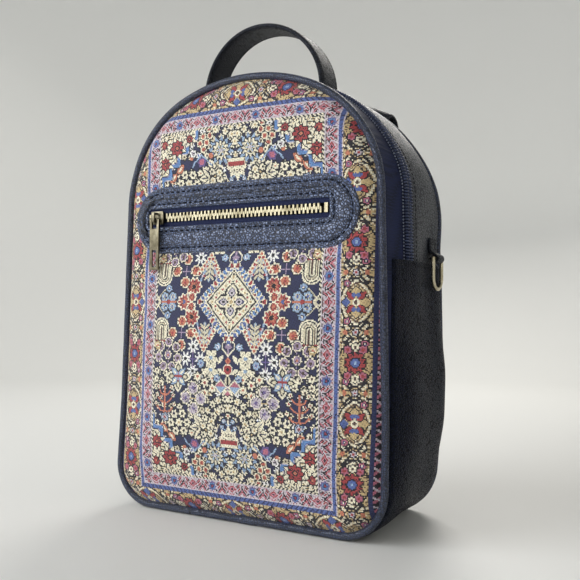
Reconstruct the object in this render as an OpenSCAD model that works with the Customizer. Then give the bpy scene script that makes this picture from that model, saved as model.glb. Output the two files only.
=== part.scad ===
// Small day backpack: crowned front panel with a zipped patch pocket, piped seams,
// an arched main zip, a carrying handle, side rings and two adjustable shoulder straps.
// Millimetres. Z is up, the front faces -Y, and the origin is the middle of the base.

/* [Body] */
// Width across the base
width_base = 218; // [206:1:230]
// Width across the shoulders
width_shoulder = 208; // [200:1:214]
// Height of the body without the handle
body_h = 305; // [290:1:330]
// Depth at the base, between the two piping planes
depth_base = 100; // [92:1:116]
// Depth at the top, between the two piping planes
depth_top = 82; // [76:1:92]
// Radius of the two lower corners
corner_r = 32; // [28:1:38]
// Radius of the two shoulder arcs
shoulder_r = 85; // [78:1:90]
// Radius of the arc over the top
crown_r = 135; // [128:1:150]
// Radius of the piping cord
piping_r = 3; // [2:0.25:3.5]
// Height where the lower gusset ends and the zip starts
gusset_top = 176; // [160:1:186]

/* [Panels] */
// Thickness of the padded front and back panels
panel_t = 2.4; // [1.8:0.1:3]
// How far the front panel stands out of its piping
front_crown = 8; // [6:0.5:10]
// Width of the front panel's rolled edge
front_roll = 13; // [11:0.5:15]
// How far the back panel stands out of its piping
back_crown = 3.3; // [3:0.1:4]
// Thickness of the lower gusset
gusset_t = 2.8; // [2:0.1:3]
// Thickness of the leather strips beside the main zip
strip_t = 1.6; // [1.2:0.1:1.8]
// Thickness of the lining
lining_t = 0.8; // [0.6:0.1:1]

/* [Main zip] */
// Distance from the front piping plane to the middle of the zip
zip_in = 33; // [30:1:36]
// Width of the gap between the two leather strips
zip_gap = 16; // [14:0.5:18]
// Width of one row of the nylon coil
coil_w = 2.6; // [2.2:0.1:2.8]
// Height of the nylon coil over its tape
coil_h = 2.2; // [1.8:0.1:2.4]

/* [Pocket] */
// Length of the leather patch
patch_l = 176; // [172:1:178]
// Height of the leather patch
patch_h = 47.4; // [44:0.2:52]
// Thickness of the leather patch
patch_t = 1.6; // [1.3:0.1:2]
// Height of the middle of the patch
patch_z = 206; // [200:1:210]
// Leather left at each end of the zip window
window_end = 13; // [11:0.5:16]
// Height of the zip window
window_h = 11; // [10.4:0.2:13]
// Pitch of the metal teeth
tooth_pitch = 3.05; // [2.9:0.05:3.4]
// Depth of the pouch behind the panel
pouch_h = 112; // [90:1:124]

/* [Handle] */
// Width of the handle strap
handle_w = 25; // [20:0.5:28]
// Thickness of the handle strap
handle_t = 3; // [2.4:0.1:4]
// Distance from the middle to the outside of each handle foot
handle_half = 52; // [44:1:56]
// Height of the handle over the body
handle_rise = 52; // [49:1:62]

/* [Straps] */
// Distance from the middle to the centre of each shoulder strap
strap_x = 54; // [46:1:58]
// Width of a shoulder strap
strap_w = 28; // [22:1:30]
// Thickness of a shoulder strap
strap_t = 2.6; // [2:0.1:3]
// Height of the adjuster on the strap
adjuster_z = 112; // [100:1:130]
// Length of the adjuster along the strap
adjuster_l = 14; // [12:0.5:18]

/* [Metal] */
// Radius of the ring wire
wire_r = 1.3; // [1.1:0.05:1.6]
// Width of a side ring between the middles of its legs
ring_w = 16; // [15.4:0.2:20]
// Length of a side ring's straight legs
ring_leg = 13; // [10:0.5:16]
// Length of a zip puller
puller_l = 37; // [32:0.5:42]
// Width of a zip puller
puller_w = 8; // [7:0.25:9]
// Thickness of a zip puller
puller_t = 1.5; // [1.2:0.1:1.7]

/* [Clearances] */
// Gap between pieces that move past each other
slide_gap = 0.4; // [0.3:0.05:0.5]
// Gap between a sewn piece and its neighbour
sew_gap = 0.3; // [0.2:0.05:0.4]
// Radial gap of a ring's bar in its leather loop
bar_gap = 0.08; // [0.05:0.01:0.1]

/* [Hidden] */
$fn = 48;
arc_n = 9;
roll_n = 5;
cord_n = 10;

leather = [0.13, 0.16, 0.24];
cloth = [0.62, 0.50, 0.44];
navy = [0.08, 0.10, 0.17];
gold = [0.78, 0.68, 0.46];
inside = [0.30, 0.30, 0.34];

// Centres of the outline's arcs, the lean of its sides and the angle where shoulder meets crown
bx = width_base / 2 - corner_r;
sx = width_shoulder / 2 - shoulder_r;
tz = body_h - crown_r;
sz = tz + sqrt(pow(crown_r - shoulder_r, 2) - sx * sx);
lean = atan2(corner_r - sz, bx - sx) + acos((shoulder_r - corner_r) / norm([bx - sx, corner_r - sz]));
top_a = atan2(sz - tz, sx);
corner_end = [bx + corner_r * cos(lean), corner_r + corner_r * sin(lean)];

// Half width of the outline at height z on its straight sides
function side_x(z) = corner_end[0] - (z - corner_end[1]) * tan(lean);

y_front = -depth_base / 2;
y_back = depth_base / 2;
back_tilt = atan((depth_base - depth_top) / body_h);
seam_gap = piping_r + sew_gap;
panel_in = 2 * piping_r + sew_gap;
strip_out = 1.2;
tape_out = strip_out + strip_t + 0.1;
tape_t = 0.8;
lining_out = tape_out + tape_t + sew_gap;
zip_y = y_front + zip_in;
face_y = y_front - front_crown;
far = 400;

// Pocket zip: the chain runs along X at zip_z, its tape lies behind the patch
window_l = patch_l - 2 * window_end;
zip_z = patch_z + 2;
tape_y = face_y + tape_t / 2;
tooth_y = 1.6;
tooth_z = 3;
tooth_mesh = 0.9;
tooth_w = tooth_pitch / 2 - 0.18;
tape_w = 9;
slit_over = 8;
slit_h = 2 * (tooth_z + tape_w) + 3;
pouch_side = 3;
pouch_over = 15;
pouch_d = 5;
pouch_t = 1;
slider_l = 11;
slider_half = 4.7;
slider_plate = 1.4;
main_plate = 2.6;
chain_l = window_l - 8;
teeth = floor((chain_l - slider_l - 3) / tooth_pitch);
chain_x0 = -chain_l / 2 + slider_l + 1;
slider_x = -chain_l / 2 + slider_l / 2;

// Bail and puller: the puller's rim lies inside the bail, on its lower leg
bail_y = 4.8;
bail_t = 1.3;
bail_half = 3.5;
rim_r = 0.9;
rim_y = 2.3;
rim_z = -bail_half + bail_t + rim_r + 0.2;
eye_l = 6;
grip_l = 12;

// Main slider: on the left straight side, just above the lower gusset
main_z = gusset_top + slider_l / 2 + 1;
coil_side = coil_w / 2 + 0.2;

// Side rings: each bar lies along Y in a leather loop at the top of the lower gusset
ring_y = y_back - (depth_base - depth_top) * gusset_top / body_h - seam_gap - ring_w / 2 - wire_r - 2;
ring_z = gusset_top + 4;
ring_out = 6.5;
ring_x = side_x(ring_z) + ring_out;
loop_r = wire_r + bar_gap + 1.8;

// Shoulder straps: two layers hang behind the back, joined round the lower ring's bar
strap_y = y_back + piping_r + 4.5;
bend_r = wire_r + 0.35;
return_y = strap_y + strap_t + 2 * bend_r;
tab_z = wire_r + sew_gap + strap_t;
ring_drop = 17;
drop_z = tab_z + ring_drop;
tab_foot = 16;
tab_t = 1.6;
tab_loop = 2;
strap_sewn = 38;
strap_lap = 0.2;
handle_root = 20;
fold_h = body_h - 21;
fold_w = back_crown + strap_t / 2;
fold_y = y_back - (fold_h - piping_r) * sin(back_tilt) + fold_w * cos(back_tilt);
fold_z = piping_r + (fold_h - piping_r) * cos(back_tilt) + fold_w * sin(back_tilt);
fold_r = (strap_y + strap_t / 2 - fold_y) / (1 + cos(back_tilt));
fold_cy = fold_y + fold_r * cos(back_tilt);
fold_cz = fold_z + fold_r * sin(back_tilt);

// Points of the outline's right half, drawn in by o from its outside
function right_half(o) = concat(
    [for (i = [0:arc_n]) let (a = -90 + (lean + 90) * i / arc_n)
        [bx + (corner_r - o) * cos(a), corner_r + (corner_r - o) * sin(a)]],
    [for (i = [0:arc_n]) let (a = lean + (top_a - lean) * i / arc_n)
        [sx + (shoulder_r - o) * cos(a), sz + (shoulder_r - o) * sin(a)]],
    [for (i = [1:arc_n]) let (a = top_a + (90 - top_a) * i / arc_n)
        [(crown_r - o) * cos(a), tz + (crown_r - o) * sin(a)]]);

// Points of the whole outline, counter-clockwise from the base
function outline_points(o) = let (h = right_half(o), n = len(h))
    concat(h, [for (i = [n - 2:-1:0]) [-h[i][0], h[i][1]]]);

// The outline drawn in by o[0] and lifted by o[1]
function ring(o) = [for (p = outline_points(o[0])) [p[0], p[1], o[1]]];

function band(k, next, n) = [for (i = [0:n - 1]) let (j = (i + 1) % n)
    each [[k * n + i, k * n + j, next * n + j], [k * n + i, next * n + j, next * n + i]]];

// Solid through a list of rings, flat at its first and last ring
module skin(section) {
    rings = [for (o = section) ring(o)];
    n = len(rings[0]);
    m = len(rings);
    polyhedron(points = [for (r = rings) each r],
               faces = concat([[for (i = [n - 1:-1:0]) i], [for (i = [0:n - 1]) (m - 1) * n + i]],
                              [for (k = [0:m - 2]) each band(k, k + 1, n)]));
}

// Closed tube: a section carried all round the outline
module tube(section) {
    rings = [for (o = section) ring(o)];
    n = len(rings[0]);
    m = len(rings);
    polyhedron(points = [for (r = rings) each r], faces = [for (k = [0:m - 1]) each band(k, (k + 1) % m, n)]);
}

module outline(o) {
    polygon(outline_points(o));
}

// Stand a drawing up in the front or the back seam plane, with its third axis pointing out of the bag
module in_front() {
    translate([0, y_front, 0])
        rotate([90, 0, 0])
            children();
}

module in_back() {
    translate([0, y_back, piping_r])
        rotate([back_tilt, 0, 0])
            translate([0, 0, -piping_r])
                rotate([90, 0, 180])
                    children();
}

// Everything behind the back seam, which trims the gussets
module behind_back(gap) {
    translate([0, y_back, piping_r])
        rotate([back_tilt, 0, 0])
            translate([-far / 2, -gap, -far / 4])
                cube([far, far, 2 * far]);
}

// Wall that follows the outline, between two distances from the front seam
module wall(o, t, y0, y1) {
    translate([0, y_front + y1, 0])
        rotate([90, 0, 0])
            linear_extrude(y1 - y0)
                difference() {
                    outline(o);
                    outline(o + t);
                }
}

module above(z) {
    translate([-far / 2, -far / 2, z])
        cube([far, far, far]);
}

module below(z) {
    translate([-far / 2, -far / 2, z - far])
        cube([far, far, far]);
}

// Panel with a rolled edge: an arc section round a flat middle, the same thickness all over
module rolled_panel(roll, crown, t) {
    r = (roll * roll + crown * crown) / (2 * crown);
    a = asin(roll / r);
    outer = [for (i = [0:roll_n]) [panel_in + roll - r * sin(a * i / roll_n), crown - r + r * cos(a * i / roll_n)]];
    inner = [for (i = [roll_n:-1:0]) [outer[i][0] + t * sin(a * i / roll_n), outer[i][1] - t * cos(a * i / roll_n)]];
    skin(concat(outer, inner));
}

// Round cord sewn along the outline
module piping() {
    tube([for (i = [0:cord_n - 1]) [piping_r - piping_r * sin(360 * i / cord_n), piping_r * cos(360 * i / cord_n)]]);
}

module stadium(l, h) {
    square([l - h, h], center = true);
    for (s = [-1, 1])
        translate([s * (l - h) / 2, 0])
            circle(d = h);
}

// Plate drawn in X and Z at the given height, from y0 back to y1
module face_plate(z, y0, y1) {
    translate([0, y1, z])
        rotate([90, 0, 0])
            linear_extrude(y1 - y0)
                children();
}

module front_panel() {
    color(cloth)
        difference() {
            in_front()
                rolled_panel(front_roll, front_crown, panel_t);
            face_plate(zip_z, face_y - 1, face_y + panel_t + 1)
                stadium(window_l + 2 * slit_over, slit_h);
        }
}

module front_piping() {
    color(leather)
        in_front()
            piping();
}

module pocket_patch() {
    color(leather)
        face_plate(0, face_y - patch_t, face_y)
            difference() {
                translate([0, patch_z])
                    stadium(patch_l, patch_h);
                translate([0, zip_z])
                    stadium(window_l, window_h);
            }
}

module pocket_pouch() {
    y0 = face_y + panel_t;
    w = window_l - 2 * pouch_side;
    z0 = zip_z + pouch_over - pouch_h;
    color(inside)
        difference() {
            translate([-w / 2, y0, z0])
                cube([w, pouch_d, pouch_h]);
            translate([-w / 2 + pouch_t, y0 + pouch_t, z0 + pouch_t])
                cube([w - 2 * pouch_t, pouch_d - 2 * pouch_t, pouch_h - 2 * pouch_t]);
            face_plate(zip_z, y0 - pouch_t, y0 + 2 * pouch_t)
                stadium(w - window_h, window_h - pouch_t);
        }
}

module pocket_zip_tape() {
    color(navy)
        for (s = [-1, 1])
            translate([0, tape_y, zip_z + s * (tooth_z + tape_w / 2)])
                cube([window_l, tape_t, tape_w], center = true);
}

// One row of teeth: each leg leaves the tape's edge and its nose reaches past the middle
module tooth_row(shift, flip) {
    for (i = [0:teeth - 1])
        translate([chain_x0 + shift + i * tooth_pitch, tape_y, zip_z])
            mirror([0, 0, flip])
                rotate([90, 0, 0])
                    linear_extrude(2 * tooth_y, center = true)
                        polygon([[0, tooth_z], [0, 0.2], [0.25, -tooth_mesh], [tooth_w - 0.25, -tooth_mesh],
                                 [tooth_w, 0.2], [tooth_w, tooth_z]]);
}

module pocket_teeth_upper() {
    color(gold)
        tooth_row(0, 0);
}

module pocket_teeth_lower() {
    color(gold)
        tooth_row(tooth_pitch / 2, 1);
}

module pocket_zip_stops() {
    color(gold) {
        translate([chain_x0 + (teeth + 0.5) * tooth_pitch + 1.6, tape_y, zip_z])
            cube([2.4, 2 * tooth_y, 2 * tooth_z], center = true);
        for (s = [-1, 1])
            translate([-chain_l / 2 - 1.8, tape_y, zip_z + s * tooth_z / 2])
                cube([2, 2 * tooth_y, tooth_z - 0.6], center = true);
    }
}

// Slider body over a chain of height h and half width w, with the chain along Z and -Y outward
module slider_body(h, w, plate) {
    y0 = h + slide_gap;
    translate([0, -y0 - plate, 0])
        rotate([-90, 0, 0])
            linear_extrude(plate)
                intersection() {
                    square([2 * slider_half, slider_l], center = true);
                    translate([0, 4])
                        circle(r = slider_l - 1);
                }
    for (s = [-1, 1])
        translate([s * (w + slide_gap + slider_half) / 2, -(y0 + slide_gap) / 2 - 0.01, 0])
            cube([slider_half - w - slide_gap, y0 - slide_gap + 0.02, slider_l - 4], center = true);
}

// Bail that stands on the slider's plate at y = 0, reaching along Z
module bail() {
    difference() {
        translate([-1.3, -bail_y, -bail_half])
            cube([2.6, bail_y, 2 * bail_half]);
        translate([-2, -bail_y + bail_t, -bail_half + bail_t])
            cube([4, bail_y - bail_t + 1, 2 * (bail_half - bail_t)]);
    }
}

// Puller that hangs from its round rim, which lies along X at the origin
module puller() {
    rotate([0, 90, 0])
        cylinder(r = rim_r, h = puller_w - 2, center = true);
    translate([0, puller_t / 2, 0])
        rotate([90, 0, 0])
            linear_extrude(puller_t)
                difference() {
                    translate([-puller_w / 2, 1 - puller_l])
                        square([puller_w, puller_l - 1]);
                    translate([-2.1, -rim_r - eye_l])
                        square([4.2, eye_l + 1.5 * rim_r]);
                    translate([-1.9, 3 - puller_l])
                        square([3.8, grip_l]);
                }
}

module pocket_slider() {
    h = tooth_y;
    color(gold)
        translate([slider_x, tape_y, zip_z]) {
            rotate([0, 90, 0])
                slider_body(h, tooth_z, slider_plate);
            translate([0, -h - slide_gap - slider_plate, 0])
                bail();
        }
}

module pocket_puller() {
    color(gold)
        translate([slider_x, tape_y - tooth_y - slide_gap - slider_plate - rim_y, zip_z + rim_z])
            puller();
}

// Place a piece on the left straight side, with its -Y outward and its Z along the side
module on_left_side(z, o) {
    translate([-side_x(z) + o / cos(lean), zip_y, z])
        rotate([0, lean, 0])
            rotate([0, 0, -90])
                children();
}

module main_slider() {
    color(gold)
        on_left_side(main_z, tape_out) {
            slider_body(coil_h, coil_side + coil_w / 2, main_plate);
            translate([0, -coil_h - slide_gap - main_plate, 0])
                bail();
        }
}

// Where the main puller hangs, worked out along and across the leaning side
main_reach = coil_h + slide_gap + main_plate + rim_y;
main_pivot = [-side_x(main_z) + tape_out / cos(lean) - main_reach * cos(lean) + rim_z * sin(lean), zip_y,
              main_z + main_reach * sin(lean) + rim_z * cos(lean)];

module main_puller() {
    color(gold)
        translate(main_pivot)
            rotate([0, 0, -90])
                puller();
}

// Woven band between the front piping and the coil
module zip_strip_front() {
    color(navy)
        difference() {
            wall(strip_out, strip_t, seam_gap, zip_in - zip_gap / 2);
            below(gusset_top);
        }
}

module zip_strip_back() {
    color(leather)
        difference() {
            wall(strip_out, strip_t, zip_in + zip_gap / 2, depth_base + 10);
            below(gusset_top);
            behind_back(seam_gap);
        }
}

module main_zip_tape() {
    half = zip_gap / 2 + 5;
    color(navy)
        difference() {
            wall(tape_out, tape_t, zip_in - half, zip_in + half);
            below(gusset_top - 8);
        }
}

module main_zip_coil() {
    color(navy)
        difference() {
            for (s = [-1, 1])
                wall(tape_out - coil_h, coil_h, zip_in + s * coil_side - coil_w / 2, zip_in + s * coil_side + coil_w / 2);
            below(gusset_top + 0.2);
        }
}

module lower_gusset() {
    color(leather)
        difference() {
            wall(0, gusset_t, seam_gap, depth_base + 10);
            above(gusset_top);
            behind_back(seam_gap);
        }
}

module lining() {
    color(inside)
        difference() {
            wall(lining_out, lining_t, seam_gap, depth_base + 10);
            behind_back(seam_gap);
        }
}

module base_board() {
    l = 2 * bx - 4;
    w = depth_base - 16;
    color(inside)
        translate([-l / 2, -w / 2, lining_out + lining_t])
            cube([l, w, 2.4]);
}

module back_panel() {
    color(leather)
        in_back()
            rolled_panel(8, back_crown, panel_t);
}

module back_piping() {
    color(leather)
        in_back()
            piping();
}

// Handle: two upright legs and a half ring, trimmed where the legs meet the strip
module handle() {
    y0 = zip_y + zip_gap / 2 + 4;
    zc = body_h + handle_rise - handle_half;
    color(leather)
        difference() {
            translate([0, y0 + handle_w, zc])
                rotate([90, 0, 0])
                    linear_extrude(handle_w) {
                        intersection() {
                            difference() {
                                circle(r = handle_half, $fn = 96);
                                circle(r = handle_half - handle_t, $fn = 96);
                            }
                            translate([-far / 2, 0])
                                square([far, far]);
                        }
                        for (s = [-1, 1])
                            translate([s * (handle_half - handle_t / 2), -handle_root])
                                square([handle_t, 2 * handle_root], center = true);
                    }
            translate([0, y0 + handle_w + 1, 0])
                rotate([90, 0, 0])
                    linear_extrude(handle_w + 2)
                        outline(strip_out);
        }
}

// Leather tab: a sewn foot on the side, a web and the loop that holds the ring's bar
module side_tab() {
    l = ring_w - 2 * wire_r - 2 * slide_gap - 1;
    color(navy)
        difference() {
            union() {
                translate([ring_x, ring_y + l / 2, ring_z])
                    rotate([90, 0, 0])
                        cylinder(r = loop_r, h = l);
                translate([ring_x - ring_out - 4, ring_y - l / 2, ring_z])
                    cube([ring_out + 4, l, loop_r]);
                translate([side_x(ring_z) - strip_out, ring_y, ring_z])
                    rotate([0, -lean, 0])
                        translate([0, -l / 2 - 1, 0])
                            cube([1.6, l + 2, 14]);
            }
            translate([ring_x, ring_y + l, ring_z])
                rotate([90, 0, 0])
                    cylinder(r = wire_r + bar_gap, h = 2 * l);
            inside_strip();
        }
}

// Solid inside of the strip's outer face, used to trim what is sewn on it
module inside_strip() {
    translate([0, y_back, 0])
        rotate([90, 0, 0])
            linear_extrude(depth_base)
                outline(strip_out);
}

module side_tab_right() {
    side_tab();
}

module side_tab_left() {
    mirror([1, 0, 0])
        side_tab();
}

// Long ring: a straight bar, two legs and a half ring below
module side_ring() {
    color(gold)
        translate([ring_x, ring_y, ring_z])
            rotate([0, 0, 90]) {
                rotate([0, 90, 0])
                    cylinder(r = wire_r, h = ring_w, center = true, $fn = 24);
                for (s = [-1, 1])
                    translate([s * ring_w / 2, 0, 0]) {
                        sphere(r = wire_r, $fn = 24);
                        translate([0, 0, -ring_leg])
                            cylinder(r = wire_r, h = ring_leg, $fn = 24);
                    }
                translate([0, 0, -ring_leg])
                    rotate([90, 0, 0])
                        rotate([0, 0, 180])
                            rotate_extrude(angle = 180)
                                translate([ring_w / 2, 0])
                                    circle(r = wire_r, $fn = 24);
            }
}

module side_ring_right() {
    side_ring();
}

module side_ring_left() {
    mirror([1, 0, 0])
        side_ring();
}

// Draw in Y and Z, and give the drawing a width along X about the strap's centre
module strap_slab(w) {
    translate([strap_x - w / 2, 0, 0])
        rotate([90, 0, 90])
            linear_extrude(w)
                children();
}

// Shoulder strap: sewn flat on the back panel, folded over at the top, straight down, round the ring's bar
module strap() {
    color(leather)
        strap_slab(strap_w) {
            translate([fold_y, fold_z])
                rotate(back_tilt)
                    translate([-strap_t / 2, -strap_sewn])
                        square([strap_t, strap_sewn + strap_lap]);
            intersection() {
                translate([fold_cy, fold_cz])
                    difference() {
                        circle(r = fold_r + strap_t / 2, $fn = 64);
                        circle(r = fold_r - strap_t / 2, $fn = 64);
                    }
                translate([fold_cy, fold_cz])
                    polygon([[0, 0], [far, 0], [far, far], [-far, far], -far * [cos(back_tilt), sin(back_tilt)]]);
            }
            translate([strap_y, drop_z - strap_lap])
                square([strap_t, fold_cz - drop_z + 2 * strap_lap]);
            intersection() {
                translate([strap_y + strap_t + bend_r, drop_z])
                    difference() {
                        circle(r = bend_r + strap_t);
                        circle(r = bend_r);
                    }
                translate([0, drop_z - far])
                    square([far, far]);
            }
        }
}

module strap_right() {
    strap();
}

module strap_left() {
    mirror([1, 0, 0])
        strap();
}

// Doubled lower layer of the strap, from the ring's bar up into the adjuster
module strap_return() {
    color(leather)
        strap_slab(strap_w)
            translate([return_y, drop_z])
                square([strap_t, adjuster_z + adjuster_l / 2 - 2 - drop_z]);
}

module strap_return_right() {
    strap_return();
}

module strap_return_left() {
    mirror([1, 0, 0])
        strap_return();
}

// Adjuster: a metal frame with a cell for each layer of the strap
module adjuster() {
    edge = 1.5;
    cell = strap_t + 2 * slide_gap;
    w = strap_w + 2 * slide_gap;
    color(gold)
        translate([strap_x, 0, adjuster_z - adjuster_l / 2])
            difference() {
                translate([-w / 2 - edge, strap_y - slide_gap - edge, 0])
                    cube([w + 2 * edge, return_y - strap_y + cell + 2 * edge, adjuster_l]);
                for (y = [strap_y, return_y])
                    translate([-w / 2, y - slide_gap, -1])
                        cube([w, cell, adjuster_l + 2]);
            }
}

module adjuster_right() {
    adjuster();
}

module adjuster_left() {
    mirror([1, 0, 0])
        adjuster();
}

// Lower ring: a rectangle of wire, one bar in the strap's bend and one in the tab's loop
module strap_ring() {
    w = strap_w + 2 * wire_r + 1.2;
    color(gold)
        translate([strap_x, strap_y + strap_t + bend_r, 0]) {
            for (z = [tab_z, drop_z])
                translate([0, 0, z])
                    rotate([0, 90, 0])
                        cylinder(r = wire_r, h = w, center = true, $fn = 24);
            for (s = [-1, 1])
                translate([s * w / 2, 0, 0]) {
                    translate([0, 0, tab_z])
                        cylinder(r = wire_r, h = drop_z - tab_z, $fn = 24);
                    for (z = [tab_z, drop_z])
                        translate([0, 0, z])
                            sphere(r = wire_r, $fn = 24);
                }
        }
}

module strap_ring_right() {
    strap_ring();
}

module strap_ring_left() {
    mirror([1, 0, 0])
        strap_ring();
}

// Lower tab: a foot sewn on the back panel, a web and the loop round the ring's lower bar
module strap_tab() {
    y = strap_y + strap_t + bend_r;
    inner = wire_r + sew_gap;
    root_y = y_back + piping_r + sew_gap;
    color(leather)
        strap_slab(strap_w - 2)
            difference() {
                union() {
                    translate([y, tab_z])
                        circle(r = inner + tab_loop);
                    translate([root_y, tab_z])
                        square([y - root_y, strap_t]);
                    translate([root_y, tab_z])
                        square([tab_t, panel_in + 0.75 * tab_foot - tab_z]);
                    translate([y_back, piping_r])
                        rotate(back_tilt)
                            translate([back_crown, panel_in + tab_foot / 2 - piping_r])
                                square([tab_t, tab_foot]);
                }
                translate([y, tab_z])
                    circle(r = inner);
            }
}

module strap_tab_right() {
    strap_tab();
}

module strap_tab_left() {
    mirror([1, 0, 0])
        strap_tab();
}

front_panel();
front_piping();
pocket_patch();
pocket_pouch();
pocket_zip_tape();
pocket_teeth_upper();
pocket_teeth_lower();
pocket_zip_stops();
pocket_slider();
pocket_puller();
zip_strip_front();
zip_strip_back();
main_zip_tape();
main_zip_coil();
main_slider();
main_puller();
lower_gusset();
lining();
base_board();
back_panel();
back_piping();
handle();
side_tab_right();
side_tab_left();
side_ring_right();
side_ring_left();
strap_right();
strap_left();
strap_return_right();
strap_return_left();
adjuster_right();
adjuster_left();
strap_ring_right();
strap_ring_left();
strap_tab_right();
strap_tab_left();
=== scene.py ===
import math

import bmesh
import bpy
import numpy as np
from mathutils import Matrix, Vector, noise


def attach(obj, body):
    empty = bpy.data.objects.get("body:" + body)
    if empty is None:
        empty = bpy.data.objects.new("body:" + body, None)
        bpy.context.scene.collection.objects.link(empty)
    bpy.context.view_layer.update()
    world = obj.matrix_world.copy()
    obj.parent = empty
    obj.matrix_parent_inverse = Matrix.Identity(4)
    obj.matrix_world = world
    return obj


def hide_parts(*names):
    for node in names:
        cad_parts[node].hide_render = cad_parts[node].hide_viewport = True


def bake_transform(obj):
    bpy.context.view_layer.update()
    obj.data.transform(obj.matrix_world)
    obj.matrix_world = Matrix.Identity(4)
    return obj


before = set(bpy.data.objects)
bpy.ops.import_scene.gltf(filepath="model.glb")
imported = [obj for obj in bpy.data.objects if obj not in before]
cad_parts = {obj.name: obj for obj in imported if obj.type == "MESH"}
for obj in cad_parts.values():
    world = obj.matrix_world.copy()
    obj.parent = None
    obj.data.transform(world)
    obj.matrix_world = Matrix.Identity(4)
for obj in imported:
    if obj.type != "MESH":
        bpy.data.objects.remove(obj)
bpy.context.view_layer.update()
scene = bpy.context.scene
scene.view_settings.view_transform = "Standard"
mm = 0.001
print("frame loaded:", len(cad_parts), "nodes")


def tint(r, g, b):
    def linear(c):
        return c / 12.92 if c <= 0.04045 else ((c + 0.055) / 1.055) ** 2.4
    return (linear(r / 255), linear(g / 255), linear(b / 255), 1.0)


# sizes in millimetres, as in the part's source
bag = dict(widthBase=218, widthShoulder=208, height=305, depthBase=100, depthTop=82, cornerR=32, shoulderR=85,
           crownR=135, pipingR=3, gussetTop=176, panelIn=6.3, seamGap=2.6, zipIn=33, zipGap=16, rimSlope=0.4)
yFront = -bag["depthBase"] / 2
yBack = bag["depthBase"] / 2
backTilt = math.atan((bag["depthBase"] - bag["depthTop"]) / bag["height"])


def traceOutline():
    cr, sr, kr = bag["cornerR"], bag["shoulderR"], bag["crownR"]
    bx = bag["widthBase"] / 2 - cr
    sx = bag["widthShoulder"] / 2 - sr
    tz = bag["height"] - kr
    sz = tz + math.sqrt((kr - sr) ** 2 - sx * sx)
    lean = math.atan2(cr - sz, bx - sx) + math.acos((sr - cr) / math.hypot(bx - sx, cr - sz))
    topA = math.atan2(sz - tz, sx)

    def arc(cx, cz, r, a0, a1):
        a = np.linspace(a0, a1, int(r * (a1 - a0) / 0.3) + 2)
        n = np.stack([np.cos(a), np.sin(a)], 1)
        return np.array([cx, cz]) + r * n, n

    def line(p, q, n):
        k = np.linspace(0, 1, int(math.dist(p, q) / 0.3) + 2)[:, None]
        return np.array(p) + (np.array(q) - np.array(p)) * k, np.repeat([n], len(k), 0)

    cosL, sinL = math.cos(lean), math.sin(lean)
    runs = [line((0, 0), (bx, 0), (0, -1)), arc(bx, cr, cr, -math.pi / 2, lean),
            line((bx + cr * cosL, cr + cr * sinL), (sx + sr * cosL, sz + sr * sinL), (cosL, sinL)),
            arc(sx, sz, sr, lean, topA), arc(0, tz, kr, topA, math.pi / 2)]
    p = np.concatenate([r[0][(i > 0):] for i, r in enumerate(runs)])
    n = np.concatenate([r[1][(i > 0):] for i, r in enumerate(runs)])
    flip = np.array([-1, 1])
    p = np.concatenate([p, p[-2::-1] * flip])
    n = np.concatenate([n, n[-2::-1] * flip])
    s = np.concatenate([[0], np.cumsum(np.hypot(*np.diff(p, axis=0).T))])
    half = len(p) // 2
    return dict(p=p, n=n, s=s, total=s[-1], half=half, bx=bx, sx=sx, tz=tz, sz=sz, lean=lean, topA=topA,
                side=(bx + cr * cosL) * cosL + (cr + cr * sinL) * sinL)


outline = traceOutline()


def outlineAt(s):
    s = np.mod(s, outline["total"])
    p = np.stack([np.interp(s, outline["s"], outline["p"][:, k]) for k in (0, 1)], -1)
    n = np.stack([np.interp(s, outline["s"], outline["n"][:, k]) for k in (0, 1)], -1)
    return p, n / np.linalg.norm(n, axis=-1, keepdims=True)


def runToHeight(z):
    h = outline["half"]
    return float(np.interp(z, outline["p"][:h, 1], outline["s"][:h]))


def insetOf(x, z):
    o, x = outline, np.abs(x)
    inset = np.minimum(z, o["side"] - x * math.cos(o["lean"]) - z * math.sin(o["lean"]))
    cr, sr, kr = bag["cornerR"], bag["shoulderR"], bag["crownR"]
    corner = (x > o["bx"]) & (z < cr)
    inset = np.where(corner, np.minimum(inset, cr - np.hypot(x - o["bx"], z - cr)), inset)
    a = np.arctan2(z - o["sz"], x - o["sx"])
    shoulder = (a > o["lean"]) & (a <= o["topA"])
    inset = np.where(shoulder, np.minimum(inset, sr - np.hypot(x - o["sx"], z - o["sz"])), inset)
    crown = np.arctan2(z - o["tz"], x) > o["topA"]
    return np.where(crown, np.minimum(inset, kr - np.hypot(x, z - o["tz"])), inset)


def rolledHeight(inset, roll, crown):
    r = (roll * roll + crown * crown) / (2 * crown)
    e = np.clip(bag["panelIn"] + roll - inset, 0, roll)
    h = crown - r + np.sqrt(r * r - e * e)
    return np.where(inset < bag["panelIn"], (inset - bag["panelIn"]) * bag["rimSlope"], h)


def smoothStep(a, b, x):
    t = np.clip((x - a) / (b - a), 0, 1)
    return t * t * (3 - 2 * t)


def within(z, up, top):
    return smoothStep(*up, z) * (1 - smoothStep(*top, z))


def pointsAt(x, y, z):
    return np.stack(np.broadcast_arrays(x, y, z), -1)


swell = dict(half=105, rear=90, back=3.2, backDeep=(62, 92), backUp=(40, 120), backTop=(190, 240), tuck=6.0,
             tuckDeep=(12, 75), tuckUp=(8, 82), zip=4.2, zipDeep=(4, 46), zipAcross=(0, 60), zipUp=(120, 172),
             zipTop=(225, 272), hollow=0.75, hollowDeep=(45, 72), hollowTop=(185, 215), shear=1.8, shearDeep=(0, 60),
             shearUp=(15, 85), shearTop=(235, 290))


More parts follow.
